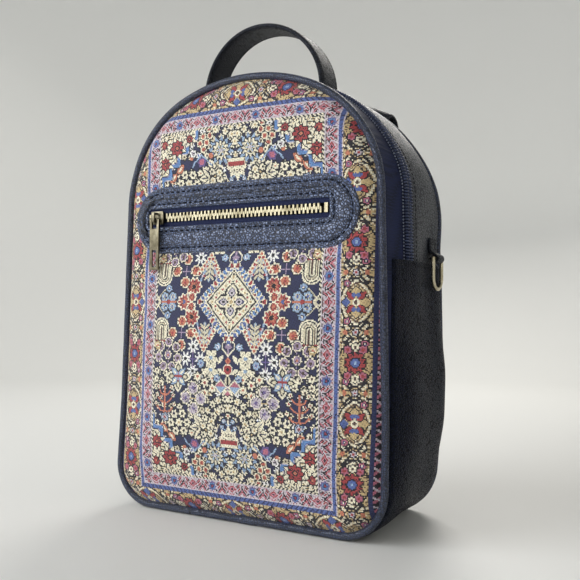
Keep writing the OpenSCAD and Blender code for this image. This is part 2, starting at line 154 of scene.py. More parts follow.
def spread(x, z, depth):
    # the filled bag stands wider towards its back and along the zip on the right, draws in round the base, and its
    # front sits a little to the right
    w = swell
    back = w["back"] * smoothStep(*w["backDeep"], depth) * within(z, w["backUp"], w["backTop"])
    tuck = w["tuck"] * smoothStep(*w["tuckDeep"], depth) * (1 - smoothStep(*w["tuckUp"], z))
    hollow = w["hollow"] * smoothStep(*w["hollowDeep"], depth) * (1 - smoothStep(*w["hollowTop"], z))
    zipSide = w["zip"] * smoothStep(*w["zipDeep"], depth) * (1 - hollow) * smoothStep(*w["zipAcross"], x)
    zipSide = zipSide * within(z, w["zipUp"], w["zipTop"])
    shear = w["shear"] * (1 - smoothStep(*w["shearDeep"], depth)) * within(z, w["shearUp"], w["shearTop"])
    return x * (1 + (back - tuck + zipSide) / w["half"]) + shear


def onBack(x, z, w):
    # a point of the back panel's own plane, lifted outward by w
    c, s = math.cos(backTilt), math.sin(backTilt)
    r = bag["pipingR"]
    return pointsAt(x, yBack - (z - r) * s + w * c, r + (z - r) * c + w * s)


def addObject(name, data, material=None):
    obj = bpy.data.objects.new(name, data)
    scene.collection.objects.link(obj)
    if material:
        data.materials.append(material)
    return obj


# camera, light and floor come first, so that any stage can be looked at
shot = dict(yaw=0.5337, pitch=0.0296, roll=0.0106, place=(0.3041, -0.5000, 0.1411), focalPixels=800, imagePixels=580,
            sensor=36, clip=0.01)


def setCamera():
    y, p, r = shot["yaw"], shot["pitch"], shot["roll"]
    ahead = Vector((-math.sin(y) * math.cos(p), math.cos(y) * math.cos(p), math.sin(p)))
    right = Vector((math.cos(y), math.sin(y), 0))
    up = right.cross(ahead)
    across = right * math.cos(r) + up * math.sin(r)
    above = up * math.cos(r) - right * math.sin(r)
    data = bpy.data.cameras.new("camera")
    data.sensor_width = shot["sensor"]
    data.lens = shot["sensor"] * shot["focalPixels"] / shot["imagePixels"]
    data.clip_start = shot["clip"]
    scene.camera = addObject("camera", data)
    turn = Matrix((across, above, -ahead)).transposed().to_4x4()
    scene.camera.matrix_world = Matrix.Translation(shot["place"]) @ turn


# lamps: name, place, size, power, colour
studio = dict(
    lamps=[("windowLamp", (-1.00, -1.05, 0.70), 1.5, 26.0, (0.96, 0.98, 1.0)),
           ("fillLamp", (-0.20, -1.45, 0.45), 0.9, 5.5, (1.0, 0.98, 0.95)),
           ("backLamp", (-0.30, 1.10, 0.95), 0.7, 9.0, (1.0, 0.97, 0.92))],
    aim=(0, 0, 0.16), worldColour=(0.88, 0.89, 0.91, 1), worldStrength=0.20)


def setStudio():
    for name, spot, size, power, colour in studio["lamps"]:
        data = bpy.data.lights.new(name, "AREA")
        data.shape = "DISK"
        data.size = size
        data.energy = power
        data.color = colour
        lamp = addObject(name, data)
        lamp.location = spot
        lamp.rotation_euler = (Vector(studio["aim"]) - Vector(spot)).to_track_quat("-Z", "Y").to_euler()
    world = bpy.data.worlds.new("studioWorld")
    world.use_nodes = True
    back = world.node_tree.nodes["Background"]
    back.inputs["Color"].default_value = studio["worldColour"]
    back.inputs["Strength"].default_value = studio["worldStrength"]
    scene.world = world


floor = dict(rings=(0.25, 0.6), flat=1.1, reach=1.6, height=1.6, turns=64, colour=tint(224, 224, 221), rough=0.55)


def setFloor():
    # one sheet: a flat floor that curves up into a backdrop all round
    flat, bend, turns = floor["flat"], floor["reach"] - floor["flat"], floor["turns"]
    rise = np.linspace(0.15, math.pi / 2, 9)
    radii = [*floor["rings"], flat, *(flat + bend * np.sin(rise)), floor["reach"]]
    heights = [0, 0, 0, *(bend * (1 - np.cos(rise))), floor["height"]]
    around = 2 * math.pi * np.arange(turns) / turns
    verts = [(r * math.cos(a), r * math.sin(a), h) for r, h in zip(radii, heights) for a in around] + [(0, 0, 0)]
    faces = [(len(verts) - 1, i, (i + 1) % turns) for i in range(turns)]
    for a in range(0, (len(radii) - 1) * turns, turns):
        b = a + turns
        faces += [(a + i, b + i, b + (i + 1) % turns, a + (i + 1) % turns) for i in range(turns)]
    mesh = bpy.data.meshes.new("paleFloor")
    mesh.from_pydata(verts, [], faces)
    mesh.shade_smooth()
    mat = bpy.data.materials.new("paleFloor")
    mat.use_nodes = True
    bsdf = mat.node_tree.nodes["Principled BSDF"]
    bsdf.inputs["Base Color"].default_value = floor["colour"]
    bsdf.inputs["Roughness"].default_value = floor["rough"]
    addObject("paleFloor", mesh, mat)


setCamera()
setStudio()
setFloor()
print("camera, lamps and floor are in place")


# node helpers for the finishes and for what repeats
socketKinds = dict(Vector="NodeSocketVector", Geometry="NodeSocketGeometry", Material="NodeSocketMaterial")


def newGroup(treeKind, name, inputs, outputs):
    group = bpy.data.node_groups.new(name, treeKind)
    for way, labels in (("INPUT", inputs), ("OUTPUT", outputs)):
        for label in labels:
            kind = socketKinds.get(label, "NodeSocketFloat")
            group.interface.new_socket(name=label, in_out=way, socket_type=kind)
    return group, group.nodes.new("NodeGroupInput").outputs, group.nodes.new("NodeGroupOutput").inputs


def feed(tree, value, socket):
    if isinstance(value, bpy.types.NodeSocket):
        tree.links.new(value, socket)
    else:
        socket.default_value = value


def addNode(tree, kind, sockets=None, **settings):
    n = tree.nodes.new(kind)
    for key, value in settings.items():
        setattr(n, key, value)
    for key, value in (sockets or {}).items():
        feed(tree, value, n.inputs[key])
    return n


def calc(tree, operation, *values):
    return addNode(tree, "ShaderNodeMath", dict(enumerate(values)), operation=operation).outputs[0]


def weigh(tree, a, shareA, b, shareB):
    return calc(tree, "ADD", calc(tree, "MULTIPLY", a, shareA), calc(tree, "MULTIPLY", b, shareB))


def remap(tree, value, a, b, c=0.0, d=1.0, kind="SMOOTHSTEP"):
    sockets = dict(enumerate((value, a, b, c, d)))
    return addNode(tree, "ShaderNodeMapRange", sockets, interpolation_type=kind).outputs["Result"]


def blendColour(tree, factor, a, b, mode="MIX"):
    n = addNode(tree, "ShaderNodeMix", {0: factor, 6: a, 7: b}, data_type="RGBA", blend_type=mode)
    return n.outputs[2]


def noiseAt(tree, vector, scale, detail=2.0, rough=0.5, output="Fac"):
    sockets = dict(Vector=vector, Scale=scale, Detail=detail, Roughness=rough)
    return addNode(tree, "ShaderNodeTexNoise", sockets).outputs[output]


# shader groups that several finishes share
def makePebbleGrain():
    g, a, b = newGroup("ShaderNodeTree", "pebbleGrain", ("Vector", "Pebble"), ("Height", "Crease", "Broad"))
    wobble = noiseAt(g, a["Vector"], 420.0, output="Color")
    shift = addNode(g, "ShaderNodeVectorMath", {0: wobble, 1: (0.0009, 0.0009, 0.0009), 2: a["Vector"]},
                    operation="MULTIPLY_ADD")
    sockets = dict(Vector=shift.outputs[0], Scale=calc(g, "DIVIDE", 1.0, a["Pebble"]), Randomness=0.85)
    cells = addNode(g, "ShaderNodeTexVoronoi", sockets, feature="DISTANCE_TO_EDGE")
    pebble = remap(g, cells.outputs["Distance"], 0.0, 0.22)
    fine = noiseAt(g, a["Vector"], 3200.0, 1.0)
    feed(g, weigh(g, pebble, 0.94, fine, 0.06), b["Height"])
    feed(g, calc(g, "SUBTRACT", 1.0, pebble), b["Crease"])
    feed(g, noiseAt(g, a["Vector"], 38.0, 3.0, 0.6), b["Broad"])
    return g


def makeThreadWeave():
    g, a, b = newGroup("ShaderNodeTree", "threadWeave", ("Vector", "Pitch"), ("Height", "ShadeAndSlub"))
    split = addNode(g, "ShaderNodeSeparateXYZ", {0: a["Vector"]}).outputs
    warp, weft = (calc(g, "DIVIDE", split[axis], a["Pitch"]) for axis in "XZ")
    over = calc(g, "MODULO", calc(g, "ADD", calc(g, "FLOOR", warp), calc(g, "FLOOR", weft)), 2.0)
    over = calc(g, "ABSOLUTE", over)

    def ridge(run):
        return calc(g, "ABSOLUTE", calc(g, "SINE", calc(g, "MULTIPLY", run, math.pi)))
    height = weigh(g, ridge(warp), over, ridge(weft), calc(g, "SUBTRACT", 1.0, over))
    slub = noiseAt(g, a["Vector"], 900.0, 2.0, 0.6)
    feed(g, height, b["Height"])
    # partly painted shade: the low edges of the threads are darkened, and random slub is mixed in
    feed(g, weigh(g, height, 0.6, slub, 0.4), b["ShadeAndSlub"])
    return g


def makeHandledMetal():
    g, a, b = newGroup("ShaderNodeTree", "handledMetal", ("Vector",), ("Smudge", "Scratch"))
    smudge = noiseAt(g, a["Vector"], 140.0, 4.0, 0.6)
    sockets = dict(Vector=a["Vector"], Rotation=(0.2, 0.35, 0.1), Scale=(1.0, 1.0, 0.12))
    brushed = addNode(g, "ShaderNodeMapping", sockets)
    scratch = noiseAt(g, brushed.outputs["Vector"], 4200.0)
    feed(g, remap(g, smudge, 0.35, 0.7), b["Smudge"])
    feed(g, remap(g, scratch, 0.56, 0.72), b["Scratch"])
    return g


pebbleGrain = makePebbleGrain()
threadWeave = makeThreadWeave()
handledMetal = makeHandledMetal()


def newMaterial(name):
    mat = bpy.data.materials.new(name)
    mat.use_nodes = True
    tree = mat.node_tree
    where = addNode(tree, "ShaderNodeTexCoord").outputs["Object"]
    return mat, tree, tree.nodes["Principled BSDF"].inputs, where


def useGroup(tree, group, vector, **values):
    return addNode(tree, "ShaderNodeGroup", dict(Vector=vector, **values), node_tree=group).outputs


def addBump(tree, skin, height, strength, distance):
    bump = addNode(tree, "ShaderNodeBump", dict(Strength=strength, Distance=distance, Height=height))
    feed(tree, bump.outputs["Normal"], skin["Normal"])


def leatherFinish(name, colour, creaseShade, pebble, roughLow, roughHigh, strength=0.55, shine=0.5, along=1.0):
    mat, tree, skin, where = newMaterial(name)
    if along != 1:
        # grain drawn out along the depth of the bag
        pull = addNode(tree, "ShaderNodeVectorMath", {0: where, 1: (1.0, along, 1.0)}, operation="MULTIPLY")
        where = pull.outputs[0]
    grain = useGroup(tree, pebbleGrain, where, Pebble=pebble)
    worn = tuple(min(1, c * 1.25) for c in colour[:3]) + (1,)
    worn = blendColour(tree, remap(tree, grain["Broad"], 0.35, 0.75), colour, worn)
    # painted shade: the crease colour darkens the valleys between the pebbles
    feed(tree, blendColour(tree, remap(tree, grain["Crease"], 0.05, 0.8, 0.0, 0.95), worn, creaseShade), skin["Base Color"])
    feed(tree, remap(tree, grain["Crease"], 0.0, 1.0, roughLow, roughHigh), skin["Roughness"])
    feed(tree, shine, skin["Specular IOR Level"])
    addBump(tree, skin, grain["Height"], strength, 0.0011)
    return mat


def clothFinish(name, light, dark, pitch, rough, strength=0.5):
    mat, tree, skin, where = newMaterial(name)
    weave = useGroup(tree, threadWeave, where, Pitch=pitch)
    feed(tree, blendColour(tree, weave["ShadeAndSlub"], dark, light), skin["Base Color"])
    feed(tree, rough, skin["Roughness"])
    feed(tree, 0.25, skin["Specular IOR Level"])
    addBump(tree, skin, weave["Height"], strength, 0.0002)
    return mat


def metalFinish(name, bright, dull, rough=0.24):
    mat, tree, skin, where = newMaterial(name)
    touch = useGroup(tree, handledMetal, where)
    feed(tree, blendColour(tree, touch["Smudge"], bright, dull), skin["Base Color"])
    feed(tree, 1.0, skin["Metallic"])
    rough = calc(tree, "ADD", calc(tree, "MULTIPLY", touch["Smudge"], 0.12), rough)
    feed(tree, calc(tree, "ADD", rough, calc(tree, "MULTIPLY", touch["Scratch"], 0.1)), skin["Roughness"])
    addBump(tree, skin, touch["Scratch"], 0.08, 0.0001)
    return mat


def carpetFinish():
    mat, tree, skin, where = newMaterial("carpetCloth")
    yarnColour = addNode(tree, "ShaderNodeAttribute", attribute_name="yarn").outputs["Color"]
    weave = useGroup(tree, threadWeave, where, Pitch=0.00048)
    shade = remap(tree, weave["ShadeAndSlub"], 0.0, 1.0, 0.55, 1.12, "LINEAR")
    grey = addNode(tree, "ShaderNodeCombineColor", {0: shade, 1: shade, 2: shade}).outputs[0]
    feed(tree, blendColour(tree, 1.0, yarnColour, grey, "MULTIPLY"), skin["Base Color"])
    feed(tree, 0.72, skin["Roughness"])
    feed(tree, 0.12, skin["Sheen Weight"])
    addBump(tree, skin, weave["Height"], 0.5, 0.0002)
    return mat


navyLeather = leatherFinish("navyLeather", tint(30, 36, 51), tint(14, 17, 26), 0.0021, 0.42, 0.66, 0.7, 0.3)
# the gusset's copy of the navy leather is darker: painted shade for the side away from the window lamp
gussetLeatherPaintedShade = leatherFinish("gussetLeatherPaintedShade", tint(18, 24, 42), tint(7, 10, 20), 0.0015, 0.38, 0.6, 0.8, 0.1, 0.6)
# the back strip's copy of the navy leather is lighter and greyer: painted sheen from the lamps above and behind
stripLeatherPaintedSheen = leatherFinish("stripLeatherPaintedSheen", tint(52, 56, 64), tint(28, 31, 40), 0.0018, 0.42, 0.6, 0.35, 0.5, 0.6)
# the pocket patch's copy of the navy leather is much lighter and bluer: painted highlight for the glints on its grain
patchLeatherPaintedHighlight = leatherFinish("patchLeatherPaintedHighlight", tint(104, 118, 151), tint(22, 28, 49), 0.0018, 0.22, 0.5, 0.95, 0.7)
# the piping's copy of the navy leather is lighter: painted highlight along the cords
pipingHighlightLeather = leatherFinish("pipingLeatherPaintedHighlight", tint(50, 60, 86), tint(18, 23, 38), 0.0017, 0.28, 0.5, 0.6, 0.6)
strapLeather = leatherFinish("strapLeather", tint(28, 33, 47), tint(11, 13, 20), 0.0017, 0.42, 0.64, 0.7, 0.3)
zipTapeCloth = clothFinish("zipTapeCloth", tint(32, 42, 82), tint(8, 11, 26), 0.0011, 0.8, 0.8)
liningCloth = clothFinish("liningCloth", tint(70, 70, 78), tint(40, 40, 46), 0.0005, 0.85)
boardFinish = clothFinish("boardFinish", tint(88, 84, 80), tint(60, 57, 54), 0.0009, 0.85, 0.3)
# the coil is lighter than its navy nylon: painted highlight for the glints on its loops
coilNylonPaintedGlint = leatherFinish("coilNylonPaintedGlint", tint(84, 95, 130), tint(36, 43, 68), 0.0006, 0.2, 0.34, 0.1)
navyThread = clothFinish("navyThread", tint(18, 22, 36), tint(7, 9, 16), 0.00035, 0.6, 0.6)
# the zip stitches are a lighter navy thread with their glint painted in: partly thread colour, partly painted highlight
paleThreadPaintedGlint = clothFinish("paleThreadPaintedGlint", tint(178, 186, 206), tint(104, 112, 140), 0.00035, 0.5, 0.6)
antiqueGold = metalFinish("antiqueGold", tint(208, 199, 172), tint(172, 160, 128))
# the teeth and stops take a darker copy of the antique gold: painted shade against the glare on them
teethBrassPaintedShade = metalFinish("teethBrassPaintedShade", tint(168, 160, 136), tint(126, 118, 94), 0.28)
# the sliders, pullers and adjusters take a darker brass: partly the darker tone they have, partly painted shade against
# the glare on them
darkBrassPaintedShade = metalFinish("darkBrassPaintedShade", tint(120, 114, 97), tint(88, 82, 66), 0.3)
carpetCloth = carpetFinish()
print("finishes are ready")


# mesh makers
def addMesh(name, verts, faces, material, outward=True):
    mesh = bpy.data.meshes.new(name)
    mesh.from_pydata((np.asarray(verts, float).reshape(-1, 3) * mm).tolist(), [], faces)
    if outward:
        bm = bmesh.new()
        bm.from_mesh(mesh)
        bmesh.ops.recalc_face_normals(bm, faces=bm.faces)
        bm.to_mesh(mesh)
        bm.free()
    mesh.shade_smooth()
    return addObject(name, mesh, material)


def readPoints(mesh):
    co = np.zeros(len(mesh.vertices) * 3, np.float32)
    mesh.vertices.foreach_get("co", co)
    return co.reshape(-1, 3) / mm


def writePoints(mesh, points):
    mesh.vertices.foreach_set("co", (points * mm).astype(np.float32).ravel())
    mesh.update()


def cellCorners(index):
    return np.stack([index[:-1, :-1], index[1:, :-1], index[1:, 1:], index[:-1, 1:]], -1)


def gridFaces(keep):
    # which points of a grid its kept cells use, and the four points of each kept cell
    used = np.zeros(np.add(keep.shape, 1), bool)
    ends = (slice(None, -1), slice(1, None))
    for a in ends:
        for b in ends:
            used[a, b] |= keep
    index = -np.ones(used.shape, int)
    index[used] = np.arange(used.sum())
    return used, cellCorners(index)[keep]


def loft(name, rings, material, closed=False):
    rings = np.asarray(rings, float)
    n, k, _ = rings.shape
    faces = []
    for i in range(n if closed else n - 1):
        a, b = i * k, (i + 1) % n * k
        faces += [(a + j, a + (j + 1) % k, b + (j + 1) % k, b + j) for j in range(k)]
    if not closed:
        faces += [tuple(range(k - 1, -1, -1)), tuple(range((n - 1) * k, n * k))]
    return addMesh(name, rings, faces, material)


def place(obj, body, slotName, *nodes):
    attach(obj, body)
    if nodes:
        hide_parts(*nodes)
    return obj


def ripple(p, size, amount):
    return amount * noise.noise(Vector(p) / size)


ribbon = dict(crown=0.25, groove=0.22, stitchIn=2.6, sink=0.1, grooveHalf=0.35)


def softSection(width, thick, crown=ribbon["crown"], groove=ribbon["groove"], stitchIn=ribbon["stitchIn"]):
    # half section from edge to edge: rounded edges, a shallow groove under each stitch line
    h = thick / 2
    e = width / 2
    steps = [0.0, 0.12 * h, 0.45 * h, h, stitchIn - 0.6, stitchIn, stitchIn + 0.6, stitchIn + 2.0]
    left = [-e + s for s in steps]
    xs = left + [-width / 8, 0.0, width / 8] + [-x for x in reversed(left)]

    def rise(x):
        edge = e - abs(x)
        full = min(edge / h, 1)
        y = h * math.sqrt(max(0.0, 1 - (1 - full) ** 2)) + crown * (1 - (x / e) ** 2) * full
        return y - groove * math.exp(-((edge - stitchIn) / ribbon["grooveHalf"]) ** 2)
    return [(x, rise(x)) for x in xs] + [(x, -rise(x)) for x in reversed(xs[1:-1])]


def strapSolid(name, path, wide, settings, material, **section):
    # ribbon along a path; wide is the direction of its width
    path = np.asarray(path, float)
    tangent = np.gradient(path, axis=0)
    tangent /= np.linalg.norm(tangent, axis=1, keepdims=True)
    across = np.tile(np.asarray(wide, float), (len(path), 1))
    across = across - (across * tangent).sum(1, keepdims=True) * tangent
    across /= np.linalg.norm(across, axis=1, keepdims=True)
    normal = np.cross(tangent, across)
    shape = softSection(settings["width"], settings["thick"], **section)
    rings = [[p + a * x + n * y for x, y in shape] for p, a, n in zip(path, across, normal)]
    return loft(name, rings, material), normal, across


def edgeRows(path, across, normal, settings, sink=ribbon["sink"]):
    # stitch lines along both edges, front and back
    width, thick = settings["width"], settings["thick"]
    rows = []
    for side in (-1, 1):
        for edge in (-1, 1):
            x = edge * (width / 2 - ribbon["stitchIn"])
            y = side * (thick / 2 + ribbon["crown"] * (1 - (2 * x / width) ** 2) - sink)
            rows.append((path + across * x + normal * y, normal * side))
    return rows


def evenPath(points, count=60):
    points = np.array(points)
    at = np.linspace(0, 1, len(points))
    return np.stack([np.interp(np.linspace(0, 1, count), at, points[:, k]) for k in (0, 1)], -1)


# stitches and the zip's coil follow their paths in node trees
def pathPoints(tree, entry, primary, secondary):
    curve = addNode(tree, "GeometryNodeMeshToCurve", dict(Mesh=entry["Geometry"])).outputs["Curve"]
    even = addNode(tree, "GeometryNodeResampleCurve", dict(Curve=curve, Length=entry["Pitch"]), mode="LENGTH")
    outward = addNode(tree, "GeometryNodeInputNamedAttribute", dict(Name="outward"), data_type="FLOAT_VECTOR")
    tangent = addNode(tree, "GeometryNodeInputTangent").outputs[0]
    turn = addNode(tree, "FunctionNodeAxesToRotation", {0: tangent, 1: outward.outputs["Attribute"]},
                   primary_axis=primary, secondary_axis=secondary)
    return addNode(tree, "GeometryNodeInstanceOnPoints", dict(Points=even.outputs["Curve"], Rotation=turn.outputs[0]))


def scaledTo(tree, geometry, *sizes):
    size = addNode(tree, "ShaderNodeCombineXYZ", dict(enumerate(sizes))).outputs[0]
    return addNode(tree, "GeometryNodeTransform", dict(Geometry=geometry, Scale=size)).outputs["Geometry"]


def closeTree(tree, entry, leave, put, piece):
    feed(tree, piece, put.inputs["Instance"])
    real = addNode(tree, "GeometryNodeRealizeInstances", dict(Geometry=put.outputs["Instances"]))
    smooth = addNode(tree, "GeometryNodeSetShadeSmooth", dict(Geometry=real.outputs["Geometry"]))
    sockets = dict(Geometry=smooth.outputs["Geometry"], Material=entry["Material"])
    paint = addNode(tree, "GeometryNodeSetMaterial", sockets)
    feed(tree, paint.outputs["Geometry"], leave["Geometry"])
    return tree


def makeStitchTree():
    inputs = ("Geometry", "Pitch", "Length", "Thick", "Material")
    tree, entry, leave = newGroup("GeometryNodeTree", "stitchesAlong", inputs, ("Geometry",))
    put = pathPoints(tree, entry, "X", "Z")
    bead = addNode(tree, "GeometryNodeMeshUVSphere", dict(Segments=6, Rings=5, Radius=0.5)).outputs["Mesh"]
    bead = scaledTo(tree, bead, entry["Length"], entry["Thick"], entry["Thick"])
    vary = addNode(tree, "FunctionNodeRandomValue", {2: 0.9, 3: 1.08, "Seed": 7}, data_type="FLOAT")
    feed(tree, vary.outputs[1], put.inputs["Scale"])
    return closeTree(tree, entry, leave, put, bead)


def makeCoilTree():
    inputs = ("Geometry", "Pitch", "Width", "Height", "Wire", "Material")
    tree, entry, leave = newGroup("GeometryNodeTree", "coilAlong", inputs, ("Geometry",))
    put = pathPoints(tree, entry, "Z", "X")
    loop = addNode(tree, "GeometryNodeCurvePrimitiveCircle", dict(Resolution=10, Radius=0.5)).outputs["Curve"]
    loop = scaledTo(tree, loop, entry["Height"], entry["Width"])
    wire = addNode(tree, "GeometryNodeCurvePrimitiveCircle", dict(Resolution=5, Radius=entry["Wire"])).outputs["Curve"]
    tube = addNode(tree, "GeometryNodeCurveToMesh", {"Curve": loop, "Profile Curve": wire})
    return closeTree(tree, entry, leave, put, tube.outputs["Mesh"])


stitchTree = makeStitchTree()
coilTree = makeCoilTree()


def runTree(name, tree, rows, material, settings, *labels):
    # rows: points in millimetres, outward directions and, if so, closed; the result is a plain mesh
    verts, edges, outward = [], [], []
    for points, directions, *closed in rows:
        start = len(verts)
        verts += [tuple(p) for p in np.asarray(points, float) * mm]
        outward += [tuple(d) for d in np.broadcast_to(directions, np.shape(points))]
        edges += [(start + i, start + i + 1) for i in range(len(points) - 1)]
        if closed:
            edges.append((len(verts) - 1, start))
    mesh = bpy.data.meshes.new(name + "Path")
    mesh.from_pydata(verts, edges, [])
    directions = mesh.attributes.new("outward", "FLOAT_VECTOR", "POINT").data
    directions.foreach_set("vector", np.ravel(outward).astype(np.float32))
    source = addObject(name + "Path", mesh)
    modifier = source.modifiers.new("along", "NODES")
    modifier.node_group = tree
    inputs = dict(Material=material, **{label: settings[label.lower()] * mm for label in labels})
    for item in tree.interface.items_tree:
        if item.item_type == "SOCKET" and item.in_out == "INPUT" and item.name in inputs:
            modifier[item.identifier] = inputs[item.name]
    evaluated = source.evaluated_get(bpy.context.evaluated_depsgraph_get())
    result = bpy.data.meshes.new_from_object(evaluated)
    source.modifiers.clear()
    bpy.data.objects.remove(source)
    result.name = name
    return addObject(name, result)


def sew(name, rows, settings, thread, slotName):
    place(runTree(name, stitchTree, rows, thread, settings, "Pitch", "Length", "Thick"), "bag", slotName)


# padded panels: cloth held at its seams and blown out by the filling
filling = dict(quality=6, mass=0.1, bending=2.0, halfWidth=110, height=306, seam=2)


def plumpField(label, settings, heightAt, pinnedAt):
    step = settings["spacing"]
    xs = np.arange(-filling["halfWidth"], filling["halfWidth"] + 0.1, step)
    zs = np.arange(0, filling["height"], step)
    x, z = np.meshgrid(xs, zs, indexing="ij")
    inset = insetOf(x, z)
    inside = inset > filling["seam"]
    height = heightAt(inset)
    pinned = pinnedAt(x, z, inset) & inside
    lift = np.zeros(x.shape)
    index = -np.ones(x.shape, int)
    index[inside] = np.arange(inside.sum())
    verts = np.stack([x, -height, z], -1)[inside] * mm
    corners = cellCorners(index).reshape(-1, 4)
    corners = corners[(corners >= 0).all(1)]
    mesh = bpy.data.meshes.new(label)
    mesh.from_pydata(verts.tolist(), [], corners.tolist())
    pad = addObject(label, mesh)
    pad.vertex_groups.new(name="sewn").add([int(i) for i in index[pinned]], 1.0, "REPLACE")
    cloth = pad.modifiers.new("filling", "CLOTH")
    cloth.settings.quality = filling["quality"]
    cloth.settings.mass = filling["mass"]
    cloth.settings.tension_stiffness = settings["stiff"]
    cloth.settings.compression_stiffness = settings["stiff"]
    cloth.settings.bending_stiffness = filling["bending"]
    cloth.settings.vertex_group_mass = "sewn"
    cloth.settings.use_pressure = True
    cloth.settings.uniform_pressure_force = settings["pressure"]
    cloth.settings.effector_weights.gravity = 0
    cloth.collision_settings.use_self_collision = False
    for f in range(1, settings["frames"] + 1):
        scene.frame_set(f)
    evaluated = pad.evaluated_get(bpy.context.evaluated_depsgraph_get())
    lift[inside] = -readPoints(evaluated.data)[:, 1] - height[inside]
    pad.modifiers.clear()
    bpy.data.objects.remove(pad)
    scene.frame_set(1)
    lift = np.clip(lift, 0, None)
    print(label, "swelled by", round(float(lift.max()), 2), "mm, kept to", settings["push"])
    return xs, zs, lift * settings["push"] / max(lift.max(), 1e-6)


def sampleField(field, x, z):
    # smooth reading of a coarse grid between its points
    xs, zs, values = field
    values = np.pad(values, 2)
    fx = np.clip((x - xs[0]) / (xs[1] - xs[0]) + 2, 1, values.shape[0] - 3.001)
    fz = np.clip((z - zs[0]) / (zs[1] - zs[0]) + 2, 1, values.shape[1] - 3.001)
    ix, iz = np.floor(fx).astype(int), np.floor(fz).astype(int)

    def weights(t):
        return [(1 - t) ** 3 / 6, (3 * t ** 3 - 6 * t ** 2 + 4) / 6, (-3 * t ** 3 + 3 * t ** 2 + 3 * t + 1) / 6,
                t ** 3 / 6]
    wx, wz = weights(fx - ix), weights(fz - iz)
    return sum(wx[a] * wz[b] * values[ix + a - 1, iz + b - 1] for a in range(4) for b in range(4))


patch = dict(length=178, height=47.4, x=3, z=206, windowLength=146.5, windowHeight=12.6, windowX=-1.75, windowZ=208,
             faceY=-58)
frontPad = dict(spacing=5, frames=18, pressure=14.0, stiff=25, push=9.5, roll=13, crown=8, sewn=11)


def underPatch(x, z, inset):
    r = patch["height"] / 2
    reach = np.hypot(np.maximum(np.abs(x - patch["x"]) - (patch["length"] / 2 - r), 0), z - patch["z"])
    return (reach < r + 1) | (inset < frontPad["sewn"])


def padHeight(pad):
    return lambda inset: rolledHeight(inset, pad["roll"], pad["crown"])


frontLift = plumpField("frontPad", frontPad, padHeight(frontPad), underPatch)


def frontSurface(x, z):
    return yFront - padHeight(frontPad)(insetOf(x, z)) - sampleField(frontLift, x, z)


# the carpet pattern: one quarter is drawn by rule in yarn colours and mirrored both ways
yarn = dict(navy=tint(36, 42, 84), dark=tint(30, 29, 40), cream=tint(242, 235, 208), ivory=tint(222, 213, 182),
            white=tint(240, 240, 236), gold=tint(206, 180, 128), red=tint(172, 58, 62), rust=tint(206, 122, 92),
            pink=tint(190, 104, 128), blue=tint(82, 104, 172), sky=tint(150, 178, 212), lilac=tint(166, 144, 172),
            purple=tint(104, 88, 150), brown=tint(88, 66, 58), mist=tint(206, 196, 206), ink=tint(48, 56, 104),
            azure=tint(92, 138, 200), rose=tint(204, 132, 150))
carpet = dict(cell=0.735, centreZ=148.5, fieldU=66.5, fieldV=119.5, guard=9.0, stripe=3.4, border=18.5, rim=2.6,
              period=37.0, squeeze=1.04, seed=11, vivid=0.9, bindingShade=0.66, between=1.06, uneven=(0.78, 1.14),
              quarter=(112, 162), halfWidth=108, height=303, foot=1.5, edge=3.6, proud=0.25, flatMap=(110, 310))


